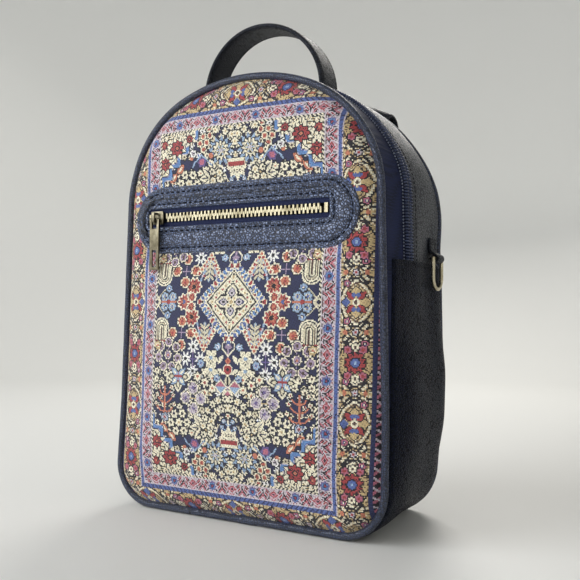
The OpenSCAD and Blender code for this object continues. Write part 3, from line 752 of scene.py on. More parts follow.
def drawCarpet():
    cell = carpet["cell"]
    names = list(yarn)
    u, v = ((np.arange(int(size / cell)) + 0.5) * cell for size in carpet["quarter"])
    uAll, vAll = np.meshgrid(u, v, indexing="ij")
    cloth = np.zeros(uAll.shape, np.int8)
    everywhere = np.ones(uAll.shape, bool)
    at = dict(u=uAll, v=vAll, zone=everywhere)
    rng = np.random.default_rng(carpet["seed"])
    speck = rng.random(uAll.shape)

    def use(a, b, zone):
        at.update(u=a, v=b, zone=zone)

    def lay(mask, colour):
        cloth[mask & at["zone"]] = names.index(colour)

    def fleck(mask, share, colour, shift):
        lay(mask & (np.roll(speck, shift, (0, 1)) < share), colour)

    def disc(a, b, r, colour):
        lay(((at["u"] - a) / r) ** 2 + ((at["v"] - b) / r) ** 2 < 1, colour)

    def hoop(a, b, r, w, colour):
        lay(np.abs(np.hypot(at["u"] - a, at["v"] - b) - r) < w / 2, colour)

    def rosette(a, b, r, n, colour, dip=0.3, turn=0.0):
        rho, th = np.hypot(at["u"] - a, at["v"] - b), np.arctan2(at["v"] - b, at["u"] - a)
        lay(rho < r * (1 - dip * (0.5 - 0.5 * np.cos(n * (th - turn)))), colour)

    def leaf(a, b, c, d, w, colour):
        l2 = (c - a) ** 2 + (d - b) ** 2
        t = ((at["u"] - a) * (c - a) + (at["v"] - b) * (d - b)) / l2
        off = np.abs((at["u"] - a) * (d - b) - (at["v"] - b) * (c - a)) / math.sqrt(l2)
        lay((t > 0) & (t < 1) & (off < w * np.sin(np.pi * np.clip(t, 0, 1))), colour)

    def line(points, w, colour):
        for (a, b), (c, d) in zip(points, points[1:]):
            l2 = (c - a) ** 2 + (d - b) ** 2
            t = np.clip(((at["u"] - a) * (c - a) + (at["v"] - b) * (d - b)) / l2, 0, 1)
            lay(np.hypot(at["u"] - a - t * (c - a), at["v"] - b - t * (d - b)) < w / 2, colour)

    def diamond(a, b, w, h, colour):
        lay(np.abs(at["u"] - a) / w + np.abs(at["v"] - b) / h < 1, colour)

    def near(a, b, r):
        return np.hypot(at["u"] - a, at["v"] - b) < r

    def discs(a, b, *layers):
        for r, colour in layers:
            disc(a, b, r, colour)

    def diamonds(a, b, *layers):
        for w, h, colour in layers:
            diamond(a, b, w, h, colour)

    def rosettes(a, b, n, *layers):
        for r, colour, *shape in layers:
            rosette(a, b, r, n, colour, *shape)

    def blossom(a, b, r, petal="cream", core="brown", n=6, turn=0.3, fill=0.3):
        rosette(a, b, r + 0.8, n, "dark", 0.2, turn)
        rosette(a, b, r, n, petal, 0.34, turn)
        disc(a, b, max(r * fill, 0.62), core)

    def ringed(a, b, r, edge, inside, eye, n=8, fill=0.7):
        rosette(a, b, r + 0.6, n, "dark", 0.15, 0.3)
        rosette(a, b, r, n, edge, 0.2, 0.3)
        disc(a, b, r * fill, inside)
        fleck(near(a, b, r * fill), 0.2, "dark", 5)
        disc(a, b, r * 0.26, eye)

    def wreath(a, b, ring, count, r, petal, core, turn=0.0):
        for k in range(count):
            t = turn + 2 * math.pi * k / count
            blossom(a + ring * math.cos(t), b + ring * math.sin(t), r, petal, core, turn=t)

    def star(a, b, r, colour, eye):
        rosette(a, b, r, 8, colour, 0.6, 0.39)
        disc(a, b, r * 0.26, eye)

    def petals(a, b, r, w, n, turn=0.0, layers=(("cream", 1.0), ("dark", 0.62), ("ivory", 0.36))):
        for k in range(n):
            t = turn + 2 * math.pi * k / n
            c, s = math.cos(t), math.sin(t)
            leaf(a, b, a + r * c, b + r * s, w + 0.7, "dark")
            for colour, share in layers:
                q = 0.5 * (1 - share)
                leaf(a + q * r * c, b + q * r * s, a + (1 - q) * r * c, b + (1 - q) * r * s, w * share, colour)

    fieldU, fieldV = carpet["fieldU"], carpet["fieldV"]
    field = (uAll < fieldU) & (vAll < fieldV)
    vReal, vAll = vAll, vAll * carpet["squeeze"]
    use(uAll, vAll, field)

    # small blossoms fill the lower ground in rows; larger motifs are laid over them
    kinds = [("cream", "brown"), ("cream", "gold"), ("white", "dark"), ("cream", "rust"), ("ivory", "brown"),
             ("white", "blue")]
    for row, b in enumerate(np.arange(51.0, fieldV * carpet["squeeze"], 5.9)):
        for a in np.arange(1.0 + 3.3 * (row % 2), fieldU - 2, 6.6):
            if rng.random() < 0.8:
                blossom(a + rng.uniform(-0.7, 0.7), b + rng.uniform(-0.7, 0.7), 2.55, *kinds[rng.integers(len(kinds))])

    # thin stems
    for a, b, c, d in ((29, 31, 29, 49), (23, 40, 35, 40), (40, 14, 40, 31), (34, 22, 46, 22), (51, 29, 51, 47),
                       (0, 24, 0, 80)):
        line([(a, b), (c, d)], 0.8, "lilac")

    # cream palmettes standing at the sides
    a, b = 59.0, 18.5
    du, dv = uAll - a, vAll - b
    q = np.where(dv < 0, np.hypot(du, dv), np.abs(du))
    arch = (q < 7.2) & (dv < 9.5)
    for r, colour in ((7.2, "cream"), (6.0, "dark"), (5.3, "cream"), (4.2, "brown"), (3.6, "ivory"), (2.5, "dark"),
                      (1.8, "cream"), (0.7, "brown")):
        lay(arch & (q < r), colour)
    lay((np.abs(du) < 6.6) & (dv > 9.5) & (dv < 12.0), "lilac")
    lay((np.abs(du) < 4.2) & (dv > 12.0) & (dv < 13.6), "blue")
    line([(52.5, 28.3), (65.6, 28.3)], 0.8, "red")
    line([(57, 9), (64, 2), (57, -5)], 1.0, "ivory")
    line([(61, 0), (66, 6)], 1.0, "cream")

    # blue cross of florets beside them
    for t in (0.79, 2.36, 3.93, 5.5):
        ringed(53.5 + 5.0 * math.cos(t), 5.0 * math.sin(t), 3.7, "sky", "ivory", "blue", 6, 0.5)
    line([(46.5, 0), (60, 0)], 0.8, "rust")
    disc(53.5, 0, 1.5, "red")
    ringed(53.8, 9.6, 2.9, "sky", "blue", "cream", 6, 0.5)

    # red blossoms round the medallion
    for a, b, r, core in ((32, 10.8, 6.2, "dark"), (39.4, 0, 5.6, "blue"), (33, 3.4, 3.3, "rust")):
        rosettes(a, b, 10, (r + 0.9, "cream", 0.22), (r - 0.3, "red", 0.3), (r * 0.6, "rust", 0.4, 0.3))
        fleck(near(a, b, r * 0.75), 0.16, "dark", 9)
        disc(a, b, r * 0.24, core)

    # clusters of florets
    for k in range(4):
        t = math.pi / 2 * k
        ringed(40 + 8.2 * math.cos(t), 22.3 + 8.4 * math.sin(t), 4.5, "cream", "rust", "red")
    for a, b in ((29, 31.4), (22.6, 40), (35.4, 40), (29, 48.6)):
        star(a, b, 5.2, "white", "dark")
    line([(26.6, 40), (31.4, 40)], 1.1, "purple")
    line([(29, 37.4), (29, 42.6)], 1.1, "purple")
    for k in range(7):
        t = 0.2 + 2 * math.pi * k / 7
        ringed(51.5 + 9.2 * math.cos(t), 38 + 9.2 * math.sin(t), 4.1, "cream", "lilac", "brown")
    ringed(51.5, 38, 3.6, "cream", "lilac", "rust")
    ringed(62, 31.5, 3.4, "gold", "cream", "rust", 6, 0.5)
    wreath(18.5, 56, 7.2, 6, 3.4, "cream", "rust", 0.5)
    blossom(18.5, 56, 3.6, "cream", "red")
    for a, b in ((28.5, 60.2), (22.2, 67.5), (34.8, 67.5), (28.5, 74.8)):
        ringed(a, b, 5.2, "cream", "mist", "purple", 8, 0.74)
        fleck(near(a, b, 3.6), 0.3, "lilac", 12)
    line([(26, 67.5), (31, 67.5)], 0.9, "gold")
    wreath(41, 85.5, 7.0, 6, 3.4, "cream", "dark", 0.1)
    blossom(41, 85.5, 3.4, "cream", "gold")

    # small blossoms in the bare places at the sides and the foot
    for a, b in ((61.8, 50), (61.8, 55.8), (57.2, 58.6), (61.8, 61.4), (2.4, 117), (7.6, 119.6), (0, 111.6),
                 (3.6, 122.4), (16, 121.5)):
        blossom(a, b, 2.8, "cream", "brown" if a > 50 else "gold")

    # feathers above the star clusters
    for k in range(6):
        f = k / 5
        for a in (20 - 7.4 * f, 20 + 8.6 * f):
            discs(a, 33 - 12.5 * f, (2.0, "cream"), (1.1, "red" if k % 2 else "rust"))
    for side in (-1, 0, 1):
        for k in range(5):
            c, d = 20 + side * (1.2 + 1.1 * k), 29 - 2.9 * k
            leaf(c, d, c + 1.9 * (side or 0.2), d - 3.6, 0.95, "mist" if k % 2 else "sky")
    for k in range(4):
        for side in (-1, 1):
            leaf(20, 30 - 3.6 * k, 20 + side * (3.0 + 0.5 * k), 25.6 - 3.6 * k, 0.9, "ivory")
            disc(20 + side * (1.9 + 0.8 * k), 28.6 - 3.4 * k, 0.75, "red" if k % 2 else "sky")
    line([(20, 30), (20, 15)], 0.8, "ivory")

    # four-petalled flower, candelabra and snowflake flowers
    petals(41.5, 53, 11.5, 3.4, 4)
    petals(41.5, 53, 8.6, 2.0, 4, math.pi / 4, (("sky", 1.0), ("cream", 0.5)))
    line([(38.5, 53), (44.5, 53)], 1.3, "red")
    line([(41.5, 50), (41.5, 56)], 1.3, "red")
    lay((np.abs(uAll - 53.5) < 9.5) & (vAll > 61) & (vAll < 80) & (speck < 0.3), "navy")
    line([(53.5, 61), (53.5, 80)], 1.5, "rust")
    for b, w in ((66, 6.2), (71.5, 7.4), (78, 8.6)):
        line([(53.5 - w, b - 4), (53.5 - w * 0.5, b), (53.5, b + 1), (53.5 + w * 0.5, b), (53.5 + w, b - 4)], 1.1,
             "rust")
        for side in (-1, 1):
            blossom(53.5 + side * w, b - 4.8, 1.8, "cream", "red")
    ringed(53.5, 82.5, 3.2, "sky", "mist", "red", 6)
    petals(19.5, 88, 12.4, 2.9, 8, 0.0, (("cream", 1.0), ("ivory", 0.5)))
    for k in range(8):
        t = math.pi / 4 * k
        c, s = math.cos(t), math.sin(t)
        line([(19.5 + 5 * c, 88 + 5 * s), (19.5 + 9.6 * c, 88 + 9.6 * s)], 0.75, "navy")
    blossom(19.5, 88, 2.6, "gold", "red")

    # down the middle: bracket, drops, bells, vase and fans
    for a, b, r, petal, core in ((8.6, 31, 2.9, "sky", "white"), (22, 43, 3.0, "sky", "mist"),
                                 (8.6, 52.6, 2.8, "sky", "white")):
        ringed(a, b, r, petal, core, "blue", 6, 0.45)
    for b in (38.6, 47.0):
        petals(13.8, b, 6.6, 2.2, 5, math.pi / 2, (("cream", 1.0), ("ivory", 0.4)))
        disc(13.8, b, 1.3, "sky")
    line([(0, 25), (4.6, 28.4), (4.6, 32.6), (0, 37)], 1.0, "cream")
    rosette(0, 30.4, 3.0, 5, "lilac", 0.3, math.pi / 2)
    leaf(3.6, 36.4, 8.0, 42.6, 1.5, "cream")
    leaf(3.0, 49.5, 8.6, 45.5, 1.5, "cream")
    discs(0, 40.6, (2.1, "rust"), (1.0, "red"))
    discs(0, 46.5, (4.0, "cream"), (3.2, "red"), (1.2, "dark"))
    leaf(0, 50, 0, 58, 2.6, "ivory")
    line([(0, 51), (0, 57)], 0.8, "dark")
    for a, b in ((5.6, 58.4), (0, 65.2)):
        diamonds(a, b, (5.6, 5.4, "cream"), (4.4, 4.3, "sky"))
        lay((np.abs(uAll - a) / 4.4 + np.abs(vAll - b) / 4.3 < 1) & (vAll < b - 0.6), "pink")
    lay((uAll < 8.6) & (vAll > 75) & (vAll < 93) & (uAll < 0.55 * (vAll - 72)), "navy")
    for k in range(7):
        t = 0.1 + 0.27 * k
        blossom(14.6 * math.sin(t), 89 - 16.5 * math.cos(t), 3.0, "cream", "brown" if k % 2 else "gold")
        blossom(20.6 * math.sin(t), 89 - 22.6 * math.cos(t), 2.7, "cream", "gold" if k % 2 else "dark")
    line([(0, 77), (0, 93)], 0.9, "cream")
    for b, w in ((82, 3.4), (86.5, 5.0)):
        line([(0, b + 3), (w, b)], 0.8, "sky")
        ringed(w, b - 0.4, 1.8, "sky", "white", "blue", 5, 0.5)
    blossom(0, 78, 2.0, "cream", "rust")
    rosette(0, 94.4, 8.4, 8, "cream", 0.25)
    lay((uAll < 6.6) & (np.abs(vAll - 96.4) < 1.5), "red")
    fleck((uAll < 8) & (np.abs(vAll - 93) < 3), 0.2, "brown", 3)
    petals(11.8, 106.5, 10.6, 1.8, 12, 0.13, (("sky", 1.0), ("blue", 0.45)))
    rosettes(11.8, 106.5, 12, (7.6, "dark", 0.2), (7.0, "cream", 0.34))
    petals(11.8, 106.5, 5.4, 1.1, 6, 0.0, (("ivory", 1.0), ("sky", 0.5)))
    disc(11.8, 106.5, 1.4, "mist")
    blossom(0, 102.5, 2.3, "cream", "gold")
    for a, b in ((20.6, 118), (26.4, 118), (32, 117.6), (23.4, 113.2), (29.2, 113), (26.2, 108.4), (21.4, 123)):
        ringed(a, b, 2.8, "cream", "rust", "red", 6, 0.6)
    rosettes(28.4, 99.8, 6, (4.6, "dark", 0.3), (4.0, "purple", 0.3))
    disc(28.4, 99.8, 2.2, "pink")
    for side in (-1, 1):
        line([(28.4, 104.6), (28.4 + side * 6, 99.8), (28.4 + side * 8, 97)], 1.1, "sky")
        disc(28.4 + side * 8.4, 103.6, 1.9, "rust")
    for a, b, r in ((35.4, 106.5, 3.0), (39.2, 110.4, 2.4), (36, 112.4, 2.0)):
        ringed(a, b, r, "white", "mist", "dark", 6, 0.5)
    for a, b in ((47.5, 96), (54, 90.5)):
        leaf(a - 3.8, b + 3.6, a + 3.8, b - 3.6, 3.2, "dark")
        leaf(a - 3.4, b + 3.2, a + 3.4, b - 3.2, 2.5, "rust")
        leaf(a - 2, b + 1.9, a + 2, b - 1.9, 0.9, "cream")

    # corner spandrel: a stepped blue edge, pale ground, contour lines and red rosettes
    slope = (uAll - 29) / 34.5 + (vAll - 84) / 37.5 + 0.08 * np.cos((uAll - vAll) * 2 * math.pi / 17)
    for level, colour in ((0.975, "dark"), (1.0, "mist"), (1.02, "azure"), (1.13, "blue"), (1.155, "mist"),
                          (1.175, "dark"), (1.2, "cream")):
        lay(slope > level, colour)
    ripples = np.mod(slope * 11 + 0.4 * np.sin(vAll * 0.55) * np.sin(uAll * 0.5), 1)
    lay((slope > 1.25) & (ripples < 0.32), "dark")
    lay((slope > 1.25) & (ripples > 0.55) & (ripples < 0.72), "gold")
    for a, b, r in ((50, 112, 6.2), (61, 101, 4.6), (62.4, 115.5, 3.4), (38.5, 117.5, 3.0)):
        petals(a, b, r + 3.4, 1.5, 8, 0.39, (("cream", 1.0),))
        rosettes(a, b, 8, (r + 0.6, "dark", 0.2), (r, "red", 0.32))
        fleck(near(a, b, r * 0.8), 0.22, "dark", 4)
        discs(a, b, (r * 0.34, "dark"), (r * 0.2, "rust"))

    # medallion: fringe of leaves, dark outline, cream diamond, four-petalled flower
    for row, gap in enumerate((2.8, 6.2)):
        n = 10 + row
        for k in range(n + 1):
            f = k / n
            a, b = (19.5 + gap) * (1 - f), (21.5 + gap) * f
            disc(a, b, 2.4, "cream")
            leaf(a - 1.4, b - 1.5, a + 1.7, b + 1.8, 1.25, ("azure", "blue", "red", "blue", "azure")[(k + 2 * row) % 5])
    fleck((uAll / 30 + vAll / 32 < 1) & (uAll / 21 + vAll / 23 > 1), 0.14, "dark", 6)
    diamonds(0, 0, (21.4, 23.4, "cream"), (20.3, 22.2, "dark"), (18.9, 20.7, "cream"))
    fleck((uAll / 18.5 + vAll / 20.3 < 1), 0.14, "dark", 7)
    for a in np.arange(0, 19, 3.6):
        for b in np.arange(0, 21, 3.8):
            if a / 15.6 + b / 17.2 < 1.04:
                blossom(a, b, 1.5, "cream", "ivory")
    for f in (0.0, 0.18, 0.36, 0.5, 0.64, 0.82, 1.0):
        rosette(15.0 * (1 - f), 16.6 * f, 2.5, 6, "cream", 0.25)
        disc(15.6 * (1 - f), 17.2 * f, 0.85, "red" if int(f * 100) % 4 else "gold")
    petals(0, 0, 13.2, 4.9, 4, 0.0, (("dark", 1.0),))
    for t, r, w in ((0.0, 11.2, 3.9), (math.pi / 2, 12.6, 4.1)):
        petals(0, 0, r, w, 4, t, (("cream", 1.0), ("ink", 0.66), ("mist", 0.48), ("dark", 0.2)))
    petals(0, 0, 6.6, 1.7, 4, math.pi / 4, (("cream", 1.0), ("gold", 0.4)))
    disc(0, 0, 1.5, "gold")

    # twisted cord round the field
    vAll = vReal
    outU, outV = uAll - fieldU, vAll - fieldV
    ring = np.maximum(outU, outV)
    along = np.where(outU >= outV, vAll, uAll)
    use(uAll, vAll, (ring > -1.5) & (ring <= 0))
    lay(everywhere, "dark")
    lay(np.mod(along + ring, 2.9) < 1.5, "cream")

    # inner guard: pale band with blue rosettes between red and pink leaves
    g0, g1 = carpet["guard"], carpet["guard"] + carpet["stripe"]
    guard = (ring > 0) & (ring < g0)

    def guardBand(along, across, zone):
        use(along, across, zone)
        lay(everywhere, "mist")
        step = 16.2
        k = np.round(along / step)
        da = along - k * step
        inner = zone & (across > 0.8) & (across < g0 - 0.7)
        use(da, across, inner)
        slant = np.mod((np.abs(da) + 0.75 * across) / 5.2, 1)
        lay(slant < 0.2, "dark")
        lay((slant > 0.2) & (slant < 0.48), "rose")
        lay((slant > 0.3) & (slant < 0.4), "red")
        for side in (-1, 1):
            leaf(side * 3.2, g0 - 1.4, side * 7.8, 2.0, 1.7, "dark")
            leaf(side * 3.6, g0 - 1.8, side * 7.4, 2.4, 1.2, "mist")
            leaf(side * 4.2, g0 - 2.6, side * 6.8, 3.2, 0.6, "red")
        use(da, across, inner & (k % 2 == 1))
        rosettes(0, g0 / 2, 8, (4.1, "mist", 0.15), (3.5, "purple", 0.25), (2.5, "azure", 0.2))
        discs(0, g0 / 2, (1.5, "ink"), (0.7, "red"))
        use(da, across, inner & (k % 2 == 0))
        diamonds(0, g0 / 2, (5.0, 3.6, "mist"), (3.7, 2.6, "red"), (2.4, 1.7, "rose"), (1.2, 0.9, "dark"))
        use(along, across, zone)
        lay((across > 0.7) & (across < 1.4) & (np.mod(along, 4.3) < 2.9), "brown")

    guardBand(vAll, outU, guard & (outU >= outV))
    guardBand(uAll, outV, guard & (outV > outU))

    # plain blue stripe with pale edges, roped along the top and the bottom
    use(uAll, vAll, (ring >= g0) & (ring < g1))
    lay(everywhere, "blue")
    lay(ring > g1 - 0.7, "mist")
    lay((outV > outU) & (np.mod(uAll + 0.8 * ring, 3.6) < 1.3), "ink")
    fleck((ring > g0) & (ring < g1), 0.16, "ink", 8)

    # main border: gold scrolls round alternating rosettes and palmettes
    width, period = carpet["border"], carpet["period"]
    mid = width / 2

    def borderBand(along, across, zone):
        k = np.round(along / period)
        da = along - k * period
        use(da, across, zone)
        lay(everywhere, "gold")
        fleck(everywhere, 0.16, "brown", 1)
        fleck(everywhere, 0.14, "cream", 4)
        for flip in (-1, 1):
            for r, w, colour in ((15.6, 1.0, "dark"), (14.2, 0.9, "cream"), (12.9, 0.8, "brown")):
                hoop(0, mid + flip * 5.5, r, w, colour)
            for side in (-1, 1):
                a, b = side * 14.4, mid + flip * 5.0
                hoop(a, b, 2.9, 0.85, "dark")
                hoop(a, b, 1.5, 0.8, "cream")
                leaf(side * 10.2, mid + flip * 8.0, side * 17.8, mid + flip * 1.0, 0.8, "dark")
                disc(side * 18.2, mid + flip * 6.4, 1.3, "rust")
        for side in (-1, 1):
            blossom(side * 18.4, mid, 2.0, "mist", "red")
            ringed(side * 11.6, mid - 5.6 * side, 2.2, "pink", "purple", "cream", 5, 0.5)
        use(da, across, zone & (np.mod(k, 2) == 1))
        disc(0, mid, 10.2, "gold")
        fleck(near(0, mid, 10.2), 0.3, "brown", 2)
        for a, b in ((-8.0, mid - 4.6), (8.0, mid - 4.6), (-8.0, mid + 4.6), (8.0, mid + 4.6), (-9.6, mid), (9.6, mid)):
            rosettes(a, b, 6, (3.2, "dark", 0.2), (2.6, "pink" if b != mid else "cream", 0.28))
            disc(a, b, 1.0, "red" if b != mid else "brown")
        rosettes(0, mid, 10, (7.2, "dark", 0.14), (6.6, "red", 0.24))
        fleck(near(0, mid, 6), 0.16, "dark", 3)
        discs(0, mid, (3.4, "dark"), (2.7, "blue"), (1.0, "sky"))
        use(da, across, zone & (np.mod(k, 2) == 0))
        diamonds(0, mid, (11.0, 9.6, "dark"), (10.0, 8.8, "gold"))
        for side in (-1, 1):
            for flip in (-1, 1):
                leaf(side * 1.0, mid + flip * 1.0, side * 7.0, mid + flip * 6.0, 2.4, "dark")
                leaf(side * 1.4, mid + flip * 1.4, side * 6.6, mid + flip * 5.6, 1.7, "red")
                disc(side * 4.4, mid + flip * 1.4, 1.4, "blue")
        diamond(0, mid - 6.2, 3.0, 3.0, "blue")
        discs(0, mid, (2.5, "cream"), (1.2, "brown"))

    b0 = g1
    border = (ring >= b0) & (ring < b0 + width)
    borderBand(vAll, outU - b0, border & (outU >= outV))
    borderBand(uAll, outV - b0, border & (outV > outU))

    # outer stripe and the dark guard beyond it
    rim = b0 + width
    use(uAll, vAll, (ring >= rim) & (ring < rim + carpet["rim"]))
    lay(everywhere, "ink")
    lay(ring < rim + 0.7, "gold")
    use(uAll, vAll, ring >= rim + carpet["rim"])
    lay(everywhere, "dark")
    lay(np.mod(along + 0.9 * ring, 5.8) < 2.0, "pink")
    lay(np.mod(along - 0.9 * ring, 5.8) < 1.4, "mist")
    return cloth


slitShape = dict(radius=13.5, past=8)


def pocketSlit(x, z):
    r = slitShape["radius"]
    reach = np.maximum(np.abs(x) - (patch["windowLength"] / 2 + slitShape["past"] - r), 0)
    return np.hypot(reach, z - patch["windowZ"]) < r


def makeCarpetSheet():
    cell = carpet["cell"]
    quarter = drawCarpet()
    nx, nz = 2 * int(carpet["halfWidth"] / cell), int(carpet["height"] / cell)
    xEdge, zEdge = (np.arange(nx + 1) - nx / 2) * cell, carpet["foot"] + np.arange(nz + 1) * cell
    x, z = np.meshgrid((xEdge[1:] + xEdge[:-1]) / 2, (zEdge[1:] + zEdge[:-1]) / 2, indexing="ij")
    keep = (insetOf(x, z) > carpet["edge"]) & ~pocketSlit(x, z)
    shade = quarter[(np.abs(x) / cell).astype(int), (np.abs(z - carpet["centreZ"]) / cell).astype(int)]
    used, quads = gridFaces(keep)
    vx, vz = (edge[used] for edge in np.meshgrid(xEdge, zEdge, indexing="ij"))
    verts = pointsAt(spread(vx, vz, 0), frontSurface(vx, vz) - carpet["proud"], vz)
    sheet = addMesh("carpetPanel", verts, quads.tolist(), carpetCloth, outward=False)
    rng = np.random.default_rng(carpet["seed"] + 1)
    colours = np.array([yarn[k] for k in yarn])[shade[keep]]
    grey = colours[:, :3].mean(1, keepdims=True)
    colours[:, :3] = grey + (colours[:, :3] - grey) * carpet["vivid"]
    across, down = np.meshgrid(np.arange(nx), np.arange(nz), indexing="ij")
    # painted shade: every fifth cell along a slant is a sunk binding point and is darkened; the raised cells between
    # are lightened a little as painted light
    bound = (np.mod(across + 2 * down, 5) == 0)[keep]
    uneven = rng.uniform(*carpet["uneven"], len(colours))
    colours[:, :3] *= (uneven * np.where(bound, carpet["bindingShade"], carpet["between"]))[:, None]
    faceColours = sheet.data.attributes.new("yarn", "FLOAT_COLOR", "FACE").data
    faceColours.foreach_set("color", colours.astype(np.float32).ravel())
    corner = verts[quads.ravel()]
    start, size = carpet["flatMap"]
    flat = np.stack([(corner[:, 0] + start) / size, corner[:, 2] / size], -1)
    sheet.data.uv_layers.new(name="OFBake").data.foreach_set("uv", flat.astype(np.float32).ravel())
    print("carpet panel:", len(quads), "woven cells")
    return sheet


carpetPanel = place(makeCarpetSheet(), "bag", "carpet_cloth")


padGrid = dict(halfWidth=108, foot=2, height=303)


def padShell(name, surface, settings, material, slit=None):
    # closed pad: a grid of points on a surface, and the same grid set back by its thickness
    xs = np.arange(-padGrid["halfWidth"], padGrid["halfWidth"] + 0.1, settings["step"])
    zs = np.arange(padGrid["foot"], padGrid["height"], settings["step"])
    x, z = np.meshgrid(xs, zs, indexing="ij")
    keep = insetOf(x, z) > settings["edge"]
    if slit:
        keep &= ~slit(x, z)
    used, quads = gridFaces(cellCorners(keep).all(-1))
    outer = surface(x[used], z[used], 0.0)
    inner = surface(x[used], z[used], -settings["thick"])
    n = len(outer)
    faces = quads.tolist() + (quads[:, ::-1] + n).tolist()
    seen = {}
    for q in quads.tolist():
        for a, b in zip(q, q[1:] + q[:1]):
            seen[(a, b)] = True
    faces += [(b, a, a + n, b + n) for a, b in seen if (b, a) not in seen]
    return addMesh(name, np.concatenate([outer, inner]), faces, material)


# foam under the carpet cloth
frontFoam = dict(thick=1.8, step=3.0, edge=7.0, fill=0.3)


def foamSurface(x, z, w):
    return pointsAt(spread(x, z, 0), frontSurface(x, z) - w, z)


foamPad = padShell("frontFoam", foamSurface, frontFoam, liningCloth, pocketSlit)
place(foamPad, "bag", "carpet_cloth", "front_panel")


# back panel: plain padded leather, held down under the straps and the lower tabs
backPad = dict(spacing=6, frames=14, pressure=10.0, stiff=25, push=2.6, roll=8, crown=3.3, step=2.4, thick=2.2,
               edge=4.0, fill=0.4, sewn=12, strapX=54, strapHalf=17, strapFrom=240, tabHalf=16, tabTo=34)


def heldBack(x, z, inset):
    off = np.abs(np.abs(x) - backPad["strapX"])
    underStrap = (off < backPad["strapHalf"]) & (z > backPad["strapFrom"])
    underTab = (off < backPad["tabHalf"]) & (z < backPad["tabTo"])
    return (inset < backPad["sewn"]) | underStrap | underTab


backLift = plumpField("backPad", backPad, padHeight(backPad), heldBack)


def backSurface(x, z, w):
    h = padHeight(backPad)(insetOf(x, z)) + sampleField(backLift, x, z)
    return onBack(spread(x, z, swell["rear"]), z, h + w)


backPanel = padShell("backPanel", backSurface, backPad, navyLeather)
place(backPanel, "bag", "navy_leather", "back_panel")
print("panels are made")


# piping cords, each with a lapped join at the base
piping = dict(step=1.6, sides=14, radius=2.45, join=16.0, joinRise=0.35, joinSlope=1.2, nick=0.4, nickHalf=0.9,
              wave=0.10, waveSize=14, backWave=40)


def makePiping(name, back):
    s = np.linspace(0, total, int(total / piping["step"]), endpoint=False)
    p, n = outlineAt(s)
    join = piping["join"]
    rings = []
    for (px, pz), (nx, nz), run in zip(p, n, s):
        gap = min(run, total - run)
        lap = piping["joinRise"] * float(smoothStep(join, join - piping["joinSlope"], run))
        wave = ripple((px, piping["backWave"] * back, pz), piping["waveSize"], piping["wave"])
        r = piping["radius"] + lap + wave - piping["nick"] * math.exp(-(gap / piping["nickHalf"]) ** 2)
        ring = []
        for k in range(piping["sides"]):
            a = 2 * math.pi * k / piping["sides"]
            o, w = bag["pipingR"] - r * math.cos(a), r * math.sin(a)
            x, z = px - o * nx, pz - o * nz
            x, z = spread(x, z, swell["rear"] * back), max(z, 0.0)
            ring.append(onBack(x, z, w) if back else (x, yFront - w, z))
        rings.append(ring)
    return loft(name, rings, pipingHighlightLeather, closed=True)


total = outline["total"]
place(makePiping("frontPiping", False), "bag", "navy_leather", "front_piping")
place(makePiping("backPiping", True), "bag", "navy_leather", "back_piping")


# walls: strips that follow the outline between two depths
wall = dict(step=2.0, columns=13, edges=(0, 0.1, 0.35, 1, 1.8), flatFrom=3, waveSize=22, calm=0.3, floor=0.02,
            floorIn=0.52)


def backDepth(z):
    return yBack - (z - bag["pipingR"]) * math.tan(backTilt) - bag["seamGap"] / math.cos(backTilt) - yFront


def wallStrip(name, s0, s1, depthFrom, depthTo, settings, puff, material):
    inset, thick, roll = (settings[k] for k in ("inset", "thick", "roll"))
    s = np.linspace(s0, s1, int(abs(s1 - s0) / wall["step"]) + 2)
    p, n = outlineAt(s)
    edges = [e * roll for e in wall["edges"]]
    rings = []
    for (px, pz), (nx, nz), run in zip(p, n, s):
        d0, d1 = (d(pz) if callable(d) else d for d in (depthFrom, depthTo))
        flat = wall["flatFrom"] * roll
        ds = [d0 + e for e in edges] + list(np.linspace(d0 + flat, d1 - flat, wall["columns"]))
        ds += [d1 - e for e in reversed(edges)]
        outer, inner = [], []
        for d in ds:
            e = min(d - d0, d1 - d)
            drop = roll * (1 - math.sqrt(max(0.0, 1 - (1 - min(e / roll, 1)) ** 2)))
            lift = puff((d - d0) / (d1 - d0), pz, run)
            wave = ripple((px, d, pz), wall["waveSize"], settings["wave"]) * min(1, lift + wall["calm"])
            off = -inset + lift - drop + wave
            outer.append((spread(px + off * nx, pz, d), yFront + d, max(wall["floor"], pz + off * nz)))
            low = min(-inset - thick + 0.5 * lift, off - 0.5)
            inner.append((spread(px + low * nx, pz, d), yFront + d, max(wall["floorIn"], pz + low * nz)))
        rings.append(outer + inner[::-1])
    return loft(name, rings, material)


gusset = dict(inset=0.15, thick=1.5, roll=3.4, wave=0.25, puff=8.0, under=6.0, away=7.0, awayUp=(84, 178),
              fullUp=(6, 75), ease=0.8, easeUp=(98, 154), flat=0.6, flatUp=(100, 140), flatAt=0.36, flatHalf=0.24,
              skew=1.2, square=4.2)
zipBand = dict(inset=1.8, thick=0.9, roll=0.4, wave=0.1, over=1.6, rise=0.5, dip=0.35)
zipStrip = dict(inset=1.65, thick=1.1, roll=0.9, wave=0.25, puff=1.6, bow=0.9)
zipTape = dict(inset=2.95, thick=0.7, roll=0.3, wave=0.0, reach=5)


def gussetFront(z):
    # the folded ends stand back from the piping
    return bag["seamGap"] + gusset["away"] * float(smoothStep(*gusset["awayUp"], z))


def gussetPuff(t, z, run):
    g = gusset
    side = float(smoothStep(*g["fullUp"], z)) * (1 - g["ease"] * float(smoothStep(*g["easeUp"], z)))
    if 0.5 * total < run or run < 0:
        # flatter under the hanging puller
        under = math.exp(-((t - g["flatAt"]) / g["flatHalf"]) ** 2)
        side *= 1 - g["flat"] * float(smoothStep(*g["flatUp"], z)) * under
    return g["puff"] * side * (1 - abs(2 * max(t, 0.0) ** g["skew"] - 1) ** g["square"])


def bandPuff(t, z, run):
    return zipBand["rise"] * (1 - t) - zipBand["dip"] * t


